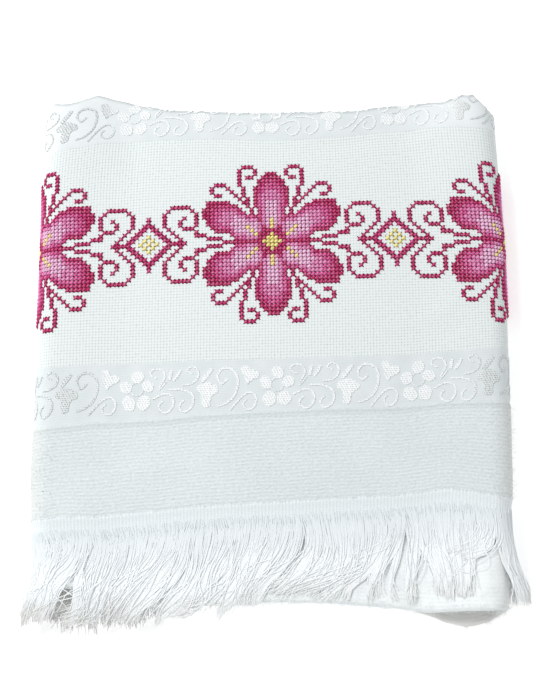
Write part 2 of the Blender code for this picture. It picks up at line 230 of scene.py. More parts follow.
# %% [markdown]
# ## The fold itself
#
# From the middle outwards a point first lies on the top, then goes half way round a
# roll, and then lies on the flap behind. Inner layers go round on a smaller radius,
# as the pages of a folded magazine do.

# %% Fold flat points into place
def bend_radius(key, y):
    """Outer radius of the side fold, looser near its ends."""
    grown = {}
    for side, ends in LOOSE_ENDS.items():
        grown[side] = sum(extra * np.exp(-((y - at) / spread) ** 2) for at, spread, extra in ends)
    return BEND_RADIUS + np.where(key < 0, grown["left"], grown["right"])


def fold_sides(key, y, depth, middle=None):
    """Positions in metres of points given by key, distance along and depth."""
    key, y, depth = np.broadcast_arrays(*(np.asarray(v, float) for v in (key, y, depth)))
    side, reach = np.where(key < 0, -1.0, 1.0), np.abs(key)
    radius = bend_radius(key, y)
    halves = [read(HALF_WIDTH["along"], HALF_WIDTH[name], y) for name in ("left", "right")]
    flat = np.where(key < 0, halves[0], halves[1]) - radius
    # on the top
    x_top = flat * reach
    rise = ease((reach - SHOULDER_START) / (1 - SHOULDER_START))
    relief, crease = top_relief(side * x_top, y)
    z_top = CENTRE_HEIGHT + (2 * radius - CENTRE_HEIGHT) * rise + relief * (1 - rise)
    z_top = z_top - crease * (1 - ease((reach - 0.9) / 0.1)) - depth
    # round the side fold
    turn = np.clip(reach - 1, 0, 1) * math.pi
    x_bend = flat + (radius - depth) * np.sin(turn)
    z_bend = radius + (radius - depth) * np.cos(turn)
    # on the flap behind
    layer_radius = radius - (depth if middle is None else middle)
    flap = CLOTH_WIDTH / 2 - math.pi * layer_radius - flat
    x_flap = flat - (reach - 2) * flap
    x = np.where(reach <= 1, x_top, np.where(reach <= 2, x_bend, x_flap))
    z = np.where(reach <= 1, z_top, np.where(reach <= 2, z_bend, depth))
    droop = FLAP_DROOP * ease((DROOP_START - y) / DROOP_LENGTH) * ease((reach - 1.5) / 0.5)
    z = z - np.where(depth > VELOUR_THICK, droop, 0.0)
    return (np.stack([side * x, y, z], axis=-1) + FRAME_SHIFT) * MM


def on_face(across, along, height):
    """Points at a height over the woven face, also where it goes over the top fold."""
    key = key_of(across)
    deep = WOVEN_RECESS * on_top(key) - height
    start = fold_line(TOP_FOLD, key) - TOP_BEND
    arc = along - start
    angle = np.clip(arc / TOP_BEND, 0, math.pi)
    ring = TOP_BEND - deep
    y = np.where(arc > 0, start + ring * np.sin(angle), along)
    y = np.where(arc > math.pi * TOP_BEND, start - (arc - math.pi * TOP_BEND), y)
    depth = np.where(arc > 0, TOP_BEND - ring * np.cos(angle), deep)
    return fold_sides(key, y, depth)


print("left fold at", np.round(on_face(-137.0, 61.0, 0.0) / MM, 1))

# %% [markdown]
# ## Finishes
#
# Everything here is white cotton or coloured thread, so the finishes differ by their
# fine relief. Patterns are worked out from a UV map that counts in millimetres: U is
# the distance across the towel and V the distance along it. The weave then follows
# every fold. Weaves are mostly arithmetic, so a small class lets plain arithmetic
# add Math nodes: u * 2 + v adds two of them.

# %% Arithmetic that adds Math nodes
class Field:
    """A number or colour that changes over a finish. Arithmetic with it adds nodes."""

    def __init__(self, tree, socket):
        self.tree, self.socket = tree, socket

    def maths(self, operation, *values):
        """A Math node."""
        node = self.tree.nodes.new("ShaderNodeMath")
        node.operation = operation
        for socket, value in zip(node.inputs, values):
            plug(socket, value)
        return Field(self.tree, node.outputs["Value"])

    def __add__(self, other):
        return self.maths("ADD", self, other)

    def __sub__(self, other):
        return self.maths("SUBTRACT", self, other)

    def __rsub__(self, other):
        return self.maths("SUBTRACT", other, self)

    def __mul__(self, other):
        return self.maths("MULTIPLY", self, other)

    def __pow__(self, other):
        return self.maths("POWER", self, other)

    def __mod__(self, other):
        return self.maths("MODULO", self, other)

    def __abs__(self):
        return self.maths("ABSOLUTE", self)


def plug(socket, value):
    """Link a socket to a field, or set it to a number or colour."""
    if isinstance(value, Field):
        value.tree.links.new(value.socket, socket)
    else:
        socket.default_value = value


print("a field takes +, -, *, **, % and abs()")

# %% [markdown]
# The helpers make what a weave needs: steps, waves, noise, blends of two colours, and
# relief. A new finish comes with its shader and its two distances.

# %% Helpers for finishes
def limited(field):
    """The field kept between 0 and 1."""
    return field.maths("MINIMUM", field.maths("MAXIMUM", field, 0.0), 1.0)


def rising(field, start, length):
    """0 before the start and 1 after the length."""
    return limited((field - start) * (1.0 / length))


def wave(distance, pitch):
    """0 to 1 and back once in each pitch."""
    return distance.maths("COSINE", distance * (2 * math.pi / pitch)) * 0.5 + 0.5


def noise(x, y, scale, detail=2.0):
    """Noise over a pair of distances."""
    join = x.tree.nodes.new("ShaderNodeCombineXYZ")
    plug(join.inputs["X"], x)
    plug(join.inputs["Y"], y)
    node = x.tree.nodes.new("ShaderNodeTexNoise")
    plug(node.inputs["Scale"], scale)
    plug(node.inputs["Detail"], detail)
    x.tree.links.new(join.outputs["Vector"], node.inputs["Vector"])
    return Field(x.tree, node.outputs["Fac"])


def blend_colour(share, first, second):
    """A colour between two, by a share from 0 to 1. A Mix node has its colours at 6 and 7."""
    node = share.tree.nodes.new("ShaderNodeMix")
    node.data_type = "RGBA"
    plug(node.inputs["Factor"], share)
    for place, colour in ((6, first), (7, second)):
        plug(node.inputs[place], colour if isinstance(colour, Field) else (*colour, 1))
    return Field(share.tree, node.outputs[2])


def bump(shader, height, strength, distance):
    """Relief from a height in the shader's normal."""
    node = height.tree.nodes.new("ShaderNodeBump")
    plug(node.inputs["Strength"], strength)
    plug(node.inputs["Distance"], distance * MM)
    plug(node.inputs["Height"], height)
    height.tree.links.new(node.outputs["Normal"], shader.inputs["Normal"])


def new_shader(name, settings):
    """A material, and its shader with these settings."""
    finish = bpy.data.materials.new(name)
    finish.use_nodes = True
    shader = finish.node_tree.nodes["Principled BSDF"]
    set_shader(shader, settings)
    return finish, shader


def set_shader(shader, settings):
    """Plug each setting into the shader's input of its name."""
    for name, value in settings.items():
        plug(shader.inputs[name], value)


def new_finish(name, roughness, specular):
    """A material, its shader and its UV distances in millimetres."""
    finish, shader = new_shader(name, {"Roughness": roughness, "Specular IOR Level": specular})
    tree = finish.node_tree
    uv = tree.nodes.new("ShaderNodeUVMap")
    uv.uv_map = "cloth"
    split = tree.nodes.new("ShaderNodeSeparateXYZ")
    tree.links.new(uv.outputs["UV"], split.inputs["Vector"])
    return finish, shader, Field(tree, split.outputs["X"]), Field(tree, split.outputs["Y"])


print("helpers ready")

# %% [markdown]
# ### Velour
#
# Velour is a pile whose loops were cut, so it is soft and has no shine. In light from
# Where the cloth is folded, painted light makes the pile whiter in mottled patches.
# On the side folds and the flaps behind, painted shade makes it a little warmer and
# greyer, because they see less of the sky. Painted shade greys the first rows beside
# the ribbon, under the velour's edge.

# %% The velour finish
RIB_PITCH = 2.05
velour, shader, u, v = new_finish("white_velour", 0.95, 0.15)
wander = noise(u * 0.05, v * 0.09, 1.0)
rows = wave(v + wander * 2.0, RIB_PITCH)
streaks = noise(u * 0.30, v * 0.95, 1.0, 3.0)
grain = noise(u, v * 1.4, 0.62, 3.0)
pile = rows * (streaks * 2.1 - 0.5) * 0.46 + grain * 1.05
shade = pile * 0.75 + noise(u, v, 0.022, 1.0) * 0.25
colour = blend_colour(shade, (0.480, 0.536, 0.546), (0.830, 0.872, 0.880))
# painted shade: grey in the first rows beside the ribbon, under the velour's edge
ribbon_edge_shade = rising(v, 48.5, 2.5) - rising(v, 52.0, 1.0)
colour = blend_colour(ribbon_edge_shade * 0.26, colour, (0.420, 0.455, 0.465))
# painted light: the folded pile whiter, in mottled patches
fold_light = (noise(u, v, 0.13) + 0.25) * rising(v, 480.0, 20.0)
colour = blend_colour(fold_light, colour, (0.930, 0.960, 0.965))
# painted shade: warm grey on the side folds and the flaps behind
side_fold_shade = rising(abs(u), 116.0, 30.0) * 0.45 - rising(abs(u), 184.0, 16.0) * 0.4
colour = blend_colour(side_fold_shade, colour, (0.640, 0.600, 0.530))
set_shader(shader, {"Base Color": colour, "Sheen Weight": 0.25, "Sheen Roughness": 0.5})
bump(shader, pile, 0.7, 0.55)
print("velour rows every", RIB_PITCH, "mm")

# %% [markdown]
# ### Open weave and ribbon ground
#
# The panel is woven in small blocks with a hole at each corner, 15 to the inch, so
# that a needle finds its way. Two cosines multiplied give a peak at every corner: it
# darkens the colour and presses the surface in. The ribbons are woven tight, with
# only fine cross ribs. Painted light makes the upper one paler near its corners,
# and painted shade greys it where it goes over the fold.

# %% The open weave finish
WEAVE_PITCH = 1.68
weave, shader, u, v = new_finish("open_weave", 0.9, 0.25)
sway = noise(u, v, 0.35, 1.0) * 0.35
u_wave, v_wave = wave(u + sway, WEAVE_PITCH), wave(v - sway, WEAVE_PITCH)
hole = (u_wave * v_wave) ** 3.0
lines = noise(u, v, 0.012, 1.0)
groove = u_wave ** 3.0 * lines + v_wave ** 3.0 * (1.0 - lines)
dark = (hole * 0.33 + groove * 0.38) * (noise(u, v, 0.55) * 1.7)
colour = blend_colour(dark, (0.770, 0.812, 0.809), (0.42, 0.47, 0.48))
set_shader(shader, {"Base Color": colour, "Sheen Weight": 0.1})
bump(shader, 1.0 - dark, 0.8, 0.35)

ribbon, shader, u, v = new_finish("ribbon_weave", 0.8, 0.3)
fine = wave(v + noise(u, v, 0.3) * 0.5, 1.1)
cloud = noise(u, v, 0.09, 3.0)
ground = fine * 0.12 + cloud * 0.6 + noise(u, v, 1.1) * 0.28
colour = blend_colour(ground, (0.560, 0.610, 0.620), (0.800, 0.836, 0.840))
# painted light: the upper ribbon paler near the top, most of all towards its corners
corner = (rising(abs(u), 65.0, 35.0) * 0.30 + 0.08) * rising(v, 200.0, 12.0)
colour = blend_colour(corner, colour, (0.890, 0.920, 0.925))
# painted shade: grey where the ribbon goes over the top fold
top_fold_shade = rising(v, 222.0, 3.5) * (cloud + 0.30)
colour = blend_colour(top_fold_shade, colour, (0.400, 0.430, 0.440))
set_shader(shader, {"Base Color": colour})
bump(shader, ground, 0.4, 0.2)
print("weave holes every", WEAVE_PITCH, "mm")

# %% [markdown]
# ## The cloth
#
# The cloth starts as a flat slab of cells: a grid, extruded once so that it has a
# face and a back. Its columns go across the towel and its rows along it. Rows are
# close together on the decorated end, which is seen, and wider inside the fold. Each
# row knows between which woven lines or round which fold it lies, and NumPy turns the
# slab's cell numbers into folded positions.

# %% A flat slab, and a mesh's points as an array
def slab(columns, rows):
    """A flat closed slab of cells. Its points' x, y and z count column, row and side."""
    bm = bmesh.new()
    bmesh.ops.create_grid(bm, x_segments=columns - 1, y_segments=rows - 1, size=0.5)
    grown = bmesh.ops.extrude_face_region(bm, geom=bm.faces[:], use_keep_orig=True)
    new = [item for item in grown["geom"] if isinstance(item, bmesh.types.BMVert)]
    bmesh.ops.translate(bm, vec=Vector((0.5, 0.5, 1)), verts=new)
    bmesh.ops.translate(bm, vec=Vector((0.5, 0.5, 0)), verts=[v for v in bm.verts if v.co.z < 0.5])
    bmesh.ops.scale(bm, vec=Vector((columns - 1, rows - 1, 1)), verts=bm.verts[:])
    return bm


def mesh_from(bm, name):
    """A mesh of a bmesh, which is then freed."""
    mesh = bpy.data.meshes.new(name)
    bm.to_mesh(mesh)
    bm.free()
    return mesh


def points_of(mesh):
    """The mesh's points as an array."""
    points = np.empty(len(mesh.vertices) * 3)
    mesh.vertices.foreach_get("co", points)
    return points.reshape(-1, 3)


def cells_of(mesh):
    """The column, row and side of each of a flat slab's points. Side 0 is the back."""
    return np.rint(points_of(mesh)).astype(int).T


sample = slab(2, 2)
print("a slab of 2 by 2 points has", len(sample.faces), "faces")
sample.free()

# %% [markdown]
# Once its points are in place, a mesh gets its UV map, its finishes and its name, and
# rides on the towel. Embroidery under the towel is pressed flat by its weight.

# %% Place the points, and make a piece
def pressed(points):
    """Press the relief under the towel to a fifth, as its weight on the floor does."""
    points[..., 2] -= 0.8 * np.minimum(points[..., 2], 0.0)
    return points


def set_points(mesh, points):
    """Move the mesh's points, and turn a mesh that came out inside out."""
    mesh.vertices.foreach_set("co", np.ascontiguousarray(points, float).ravel())
    mesh.update()
    bm = bmesh.new()
    bm.from_mesh(mesh)
    if bm.calc_volume(signed=True) < 0:
        bmesh.ops.reverse_faces(bm, faces=bm.faces[:])
    bm.to_mesh(mesh)
    bm.free()


def set_uv(mesh, distances):
    """Give the mesh the UV map 'cloth' from each point's two distances."""
    corners = np.empty(len(mesh.loops), int)
    mesh.loops.foreach_get("vertex_index", corners)
    layer = mesh.uv_layers.new(name="cloth")
    layer.uv.foreach_set("vector", distances[corners].astype(np.float32).ravel())


def make_piece(mesh, name, *finishes, smooth=True):
    """An object for a finished mesh, which rides on the towel."""
    for finish in finishes:
        mesh.materials.append(finish)
    if smooth:
        mesh.shade_smooth()
    piece = add_object(name, mesh)
    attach(piece, "root")
    mesh.calc_loop_triangles()
    print(name, len(mesh.loop_triangles), "triangles")
    return piece


print("1 mm below the floor is pressed to", round(pressed(np.array((0.0, 0.0, -1.0)))[2], 2))

# %% [markdown]
# The columns are twice as close on the top and round the side folds as on the flaps
# behind.

# %% Columns across the cloth
top = np.linspace(0, FLAT, 55)
side_fold = FLAT + BEND * np.arange(1, 17) / 16
flap_behind = FLAT + BEND + FLAP * np.arange(1, 19) / 18
half = np.concatenate([top, side_fold, flap_behind])
ACROSS = np.concatenate([-half[:0:-1], half])
KEYS = key_of(ACROSS)
print(len(ACROSS), "columns")

# %% [markdown]
# A row of the slab is one function's work: it gets the row's share of the way
# through its band and gives, for every column, where the face and the back lie.

# %% Rows along the cloth
EDGE_ROUND = 1.2
cloth_rows = []


def add_rows(finish_index, shares, start, end, row):
    """Add rows of one band. row gives face y, face depth, back y and back depth."""
    for share in shares:
        lies = np.broadcast_arrays(*row(share), KEYS)[:4]
        cloth_rows.append((finish_index, start + (end - start) * share, lies))


def sunk(thick):
    """How deep the outer face lies, for velour or for a thinner woven band."""
    return WOVEN_RECESS * on_top(KEYS) if thick == WOVEN_THICK else 0.0


def band(low, high, thick):
    """A band of the decorated end between two woven lines, or up to the top fold."""
    def row(share):
        first = band_line(low, ACROSS)
        last = fold_line(TOP_FOLD, KEYS) - TOP_BEND if high is None else band_line(high, ACROSS)
        y = first + (last - first) * share
        return y, sunk(thick), y, sunk(thick) + thick
    return row


def bend(table, sign, centre_depth, radius, thick):
    """A bend round one of the two folds across the length."""
    def row(share):
        angle = math.pi * (share if sign > 0 else 1 - share)
        middle = fold_line(table, KEYS) - sign * radius
        ring = []
        for r in (radius - sunk(thick), radius - sunk(thick) - thick):
            ring += [middle + sign * r * math.sin(angle), centre_depth - r * math.cos(angle)]
        return ring
    return row


def level(face, far_inset, from_top):
    """The lower or the middle layer, between the two folds."""
    def row(share):
        high = fold_line(TOP_FOLD, KEYS) - TOP_BEND - far_inset
        low = fold_line(BOTTOM_FOLD, KEYS) + BOTTOM_BEND
        y = high + (low - high) * (share if from_top else 1 - share)
        return y, face, y, (LOWER_BACK if from_top else face + VELOUR_THICK)
    return row


def velour_edge(share):
    """The velour's front edge, rounded like a cut pile."""
    y = band_line("front_edge", ACROSS) + EDGE_ROUND * share
    lean = 0.75 * (1 - share) ** 2
    return y, lean, y, VELOUR_THICK - 0.7 * lean


print("the velour's edge lies", velour_edge(0.0)[1], "mm deeper")

# %% [markdown]
# The cloth's bands come in the order in which they are woven, and each gives the
# distance along the flat cloth at which it starts and ends. Those distances become
# the V of the UV map.

# %% Make the cloth
VELOUR, WEAVE, RIBBON = 0, 1, 2
BAND_STARTS = (0, 52, 77, 146, 209, 221.5, 236, 506, 515, 776)


def steps(count, first=0.0, last=0):
    """Shares of the rows of a band from its first one. With last=1 its end is a row too."""
    return first + (1 - first) * np.arange(count + last) / count


# Each band: finish, shares of its rows, and how they lie
BANDS = (
    (VELOUR, steps(23, 0.022, 1), band("front_edge", "velour_top", VELOUR_THICK)),
    (RIBBON, steps(11, 0.04), band("velour_top", "ribbon_top", WOVEN_THICK)),
    (WEAVE, steps(30), band("ribbon_top", "flower_row", WOVEN_THICK)),
    (WEAVE, steps(28), band("flower_row", "panel_top", WOVEN_THICK)),
    (RIBBON, steps(6), band("panel_top", None, WOVEN_THICK)),
    (RIBBON, steps(12, last=1), bend(TOP_FOLD, 1, TOP_BEND, TOP_BEND, WOVEN_THICK)),
    (VELOUR, steps(26, 0.01), level(STACK, 0, True)),
    (VELOUR, steps(12),
     bend(BOTTOM_FOLD, -1, (STACK + MIDDLE_FACE) / 2, BOTTOM_BEND, VELOUR_THICK)),
    (VELOUR, steps(24, last=1), level(MIDDLE_FACE, PLAIN_END_INSET, False)),
)
add_rows(VELOUR, (0.0, 0.5), 0, EDGE_ROUND, velour_edge)
for start, end, (finish_index, shares, row) in zip(BAND_STARTS, BAND_STARTS[1:], BANDS):
    add_rows(finish_index, shares, start, end, row)

flat_slab = slab(len(ACROSS), len(cloth_rows))
row_finish = [entry[0] for entry in cloth_rows]
for face in flat_slab.faces:
    face.material_index = row_finish[min(round(vert.co.y) for vert in face.verts)]
cloth_mesh = mesh_from(flat_slab, "towel_cloth_folded")
column, row, side = cells_of(cloth_mesh)
cloth_back, cloth_key = side == 0, KEYS[column]
cloth_along = np.array([entry[1] for entry in cloth_rows])[row]
lies = np.array([entry[2] for entry in cloth_rows])
face_y, face_depth, back_y, back_depth = lies[row, :, column].T
y = np.where(cloth_back, back_y, face_y)
depth = np.where(cloth_back, back_depth, face_depth)
set_uv(cloth_mesh, np.stack([ACROSS[column], cloth_along], axis=1))
set_points(cloth_mesh, fold_sides(cloth_key, y, depth, (face_depth + back_depth) / 2))
towel = make_piece(cloth_mesh, "towel_cloth_folded", velour, weave, ribbon)
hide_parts("towel_cloth")

# %% [markdown]
# ## The heading
#
# The fringe hangs from a narrow woven strip whose warp ribs stand out. They run
# towards the fringe, 1.8 mm apart. They are wide enough to be real relief, so the
# slab gets seven columns to every two ribs. Its upper edge is a little scalloped
# where it was sewn to the velour.

# %% Make the heading
HEADING, HEADING_THICK, HEADING_DEPTH, HEADING_SAG = 11.0, 1.4, 0.5, 0.6
HEADING_RIB, RIB_RISE, EDGE_LAP, HEADING_GAP = 1.82, 0.06, 1.5, 0.35
COLUMNS_TO_RIB, HEADING_ROWS, HEADING_WIDER = 3.5, 7, 0.9

heading_finish, shader, u, v = new_finish("heading_weave", 0.85, 0.25)
ribs = wave(u + noise(u, v, 0.7) * 1.3, HEADING_RIB)
picks = wave(v + noise(u, v, 0.8) * 2.0, 1.25)
knots = ribs * 0.30 + picks * 0.15 + noise(u, v * 0.6, 1.3, 3.0) * 0.65
colour = blend_colour(knots, (0.640, 0.700, 0.722), (0.850, 0.890, 0.902))
set_shader(shader, {"Base Color": colour})
bump(shader, knots, 0.4, 0.25)

columns = round(CLOTH_WIDTH / HEADING_RIB * COLUMNS_TO_RIB)
heading_mesh = mesh_from(slab(columns, HEADING_ROWS), "fringe_heading")
column, row, side = cells_of(heading_mesh)
across = (column / (columns - 1) - 0.5) * (CLOTH_WIDTH + 2 * HEADING_WIDER)
share = 1 - row / (HEADING_ROWS - 1)
key = key_of(across)
ragged = np.random.default_rng(3).uniform(-0.55, 0.55, columns)[column]
scallop = 0.25 * np.sin(across / 2.3 + 1.7 * np.sin(across / 9.0)) + ragged
y = band_line("front_edge", across) + EDGE_LAP - HEADING_GAP - (HEADING + EDGE_LAP) * share
y = y + np.where(share == 0, scallop * on_top(key), 0.0)
rib = RIB_RISE * (np.cos(across * 2 * math.pi / HEADING_RIB) - 1)
face = (HEADING_DEPTH * ease(share / 0.3) + HEADING_SAG * share) * on_top(key) - rib
back = (HEADING_DEPTH + HEADING_SAG * share) * on_top(key) + HEADING_THICK
depth = np.where(side == 0, back - 0.5 * (share == 0), face - 0.25 * (share < 0.2) * on_top(key))
set_uv(heading_mesh, np.stack([across, -HEADING * share], axis=1))
set_points(heading_mesh, fold_sides(key, y, depth, HEADING_THICK / 2))
heading = make_piece(heading_mesh, "fringe_heading", heading_finish)
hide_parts("fringe")

# %% [markdown]
# ## Many copies of a small shape
#
# The fringe has thousands of threads and the border thousands of stitches. One small
# template is modelled, and an Array modifier makes all the copies in a row. Blender
# keeps the copies in order, so NumPy can take the points copy by copy and send each
# copy to its own place.

# %% Make copies of a template
def strand(segments, cuts):
    """A closed thin prism along X from 0 to 1, half a unit wide to each side."""
    bm = bmesh.new()
    bmesh.ops.create_cone(bm, cap_ends=True, segments=segments, radius1=0.5, radius2=0.5, depth=1)
    long_edges = [e for e in bm.edges if abs(e.verts[0].co.z - e.verts[1].co.z) > 0.5]
    bmesh.ops.subdivide_edges(bm, edges=long_edges, cuts=cuts)
    bmesh.ops.translate(bm, vec=Vector((0, 0, 0.5)), verts=bm.verts[:])
    bmesh.ops.rotate(bm, matrix=Matrix.Rotation(math.pi / 2, 3, "Y"), verts=bm.verts[:])
    return mesh_from(bm, "strand")


def copies(template, count, name):
    """A mesh of many copies, two units apart, and the template's points."""
    holder = add_object("holder", template)
    array = holder.modifiers.new("Array", "ARRAY")
    array.count = count
    array.use_relative_offset = False
    array.use_constant_offset = True
    array.constant_offset_displace = (0, 2, 0)
    graph = bpy.context.evaluated_depsgraph_get()
    mesh = bpy.data.meshes.new_from_object(holder.evaluated_get(graph))
    mesh.name = name
    bpy.data.objects.remove(holder)
    return mesh, points_of(template)


print("a strand has", len(strand(5, 3).polygons), "faces")

# %% [markdown]
# ## The fringe
#
# Each thread leaves the heading's lower edge, runs straight for a few millimetres and
# is then swept aside. Guides say how the threads lie at a place across: how far they
# have gone aside after each quarter of their length, how long they are, and how
# tightly they gather. A curve of the fourth degree joins the five places.
#
# Threads that are neighbours at the heading stay together in a lock. A lock takes its
# guide at its own middle, so the locks part and cross as the picture shows, and it is
# a little domed, as a bundle is. Some threads stray and curl. All chance comes from
# seeded generators, so every run is the same. The fringe opens in one place near its
# left end, so every layer parts there.

# %% How the fringe lies
# Each guide: place across, aside after 1/4, 1/2, 3/4 and all, length, gathering
GUIDES = np.array((
    (-155, 0, -1, -2, -3, 42, 0.3), (-137, 0, -1, -3, -5, 43, 0.3),
    (-128, 0, -2, -5, -8, 46, 0.4), (-118, 0, -7, -13, -15, 50, 0.5),
    (-109, -1, -10, -15, -18, 53, 0.5), (-101, -2, -9, -17, -23, 53, 0.6),
    (-98, -1, -5, -7, -9, 49, 0.6), (-91, -1, -6, -10, -18, 55, 0.6),
    (-81, -1, -8, -13, -24, 58, 0.5), (-73, -1, -6, -13, -20, 50, 0.5),
    (-66, -2, -9, -17, -21, 49, 0.5), (-56, -3, -13, -23, -29, 58, 0.5),
    (-49, -4, -13, -22, -32, 61, 0.6), (-43, -4, -10, -22, -29, 60, 0.6),
    (-37, -2, -6, -13, -22, 57, 0.5), (-28, -1, -7, -11, -22, 54, 0.5),
    (-18, -1, -6, -14, -22, 53, 0.5), (-7, -2, -7, -13, -20, 51, 0.4),
    (3, -2, -8, -15, -18, 49, 0.4), (12, -1, -7, -15, -21, 49, 0.5),
    (21, 2, -1, -9, -19, 48, 0.5), (35, 2, 1, -9, -23, 51, 0.5),
    (44, 1, -2, -10, -20, 51, 0.5), (56, 1, -3, -12, -19, 49, 0.6),
    (64, 1, -4, -10, -13, 46, 0.75), (69, 0, -2, -5, -4, 45, 0.8),
    (74, 3, 4, 3, 3, 46, 0.75), (80, 1, 5, 10, 12, 45, 0.8),
    (94, 0, 1, 3, 5, 45, 0.7), (104, 1, 2, 2, 1, 45, 0.75),
    (112, 1, -1, -8, -17, 31, 0.4), (119, 1, 0, -5, -14, 30, 0.4),
    (123, 2, 5, 10, 13, 48, 0.8), (132, 1, 3, 6, 8, 46, 0.7), (155, 0, 1, 2, 3, 40, 0.4),
))
LOCKS, LOCKS_START, LOCK_WIDTHS, PARTING = 110, -245, (4.2, 9.0), -100.5
EDGE_OVERHANG, FRINGE_REACH, STRAY_SHARE = 2.0, 239.0, 0.05
SIDE_FAN = {"left": 7.0, "right": 10.0}
HANG_SLOPE, HANG_HEIGHT, HANG_START = math.radians(31), 24.0, 12.0
THREAD_WIDE, THREAD_TALL = 0.50, 0.11
TURN = FLAT + BEND
# How much the threads vary by chance: their places, and the length, gathering, sway and
# wave of a lock
PLACE_VARIES, LENGTH_VARIES, GATHER_VARIES, LOCK_SWAY, LOCK_WAVE = 0.3, 0.06, 0.12, 3.0, 0.8
# How far a tip turns aside, and from which share of its length
TIP_TURN, TIP_FROM = 0.7, 0.82
# How far up in the heading threads start, and the least share of a step that goes along
TUCKED, LEAST_ALONG, FREE_AFTER = 6.0, 0.35, 8.0
# How far a lock is domed, and how far a stray lies above it
DOME, DOME_VARIES, STRAY_RISE = 0.2, 0.035, 0.35
FLAP_LOCK = {"across": (155, 165, 200, 215, 239), "length": (46, 47, 44, 33, 30)}
QUARTERS = np.linalg.inv(np.vander(np.linspace(0, 1, 5), 5))
print(len(GUIDES), "guides")

# %% [markdown]
# The inverse of a Vandermonde matrix turns the five places into the curve's terms.

# %% Read the guides, and part the locks
def guide(entry, home):
    """One entry of the guides at a place across."""
    return read(GUIDES[:, 0], GUIDES[:, entry], home)


def lock_of(across, rng):
    """Number, middle and half width of the lock in which each thread lies."""
    edges = LOCKS_START + np.cumsum(rng.uniform(*LOCK_WIDTHS, LOCKS))
    edges[np.argmin(np.abs(edges - PARTING))] = PARTING
    number = np.searchsorted(edges, across)
    low, high = edges[number - 1], edges[number]
    return number, (high + low) / 2, (high - low) / 2


def swept(home, share):
    """How far aside the guides take a thread at a share of its length."""
    offsets = [np.zeros_like(home)] + [guide(quarter, home) for quarter in range(1, 5)]
    terms = np.stack([share ** power for power in (4, 3, 2, 1, 0)], axis=-1)
    return np.einsum("ca,cra->cr", np.stack(offsets, axis=1) @ QUARTERS.T, terms)


middle_tip = swept(np.zeros(1), np.ones((1, 1)))
print("a thread in the middle ends", round(float(middle_tip[0, 0]), 1), "mm aside")

# %% [markdown]
# A thread's height has three parts: the layer it lies on, its lock, and its place in
# the domed lock. Threads of the flaps behind lie flat near the floor. Past the bottom
# fold every thread bends down to the floor.

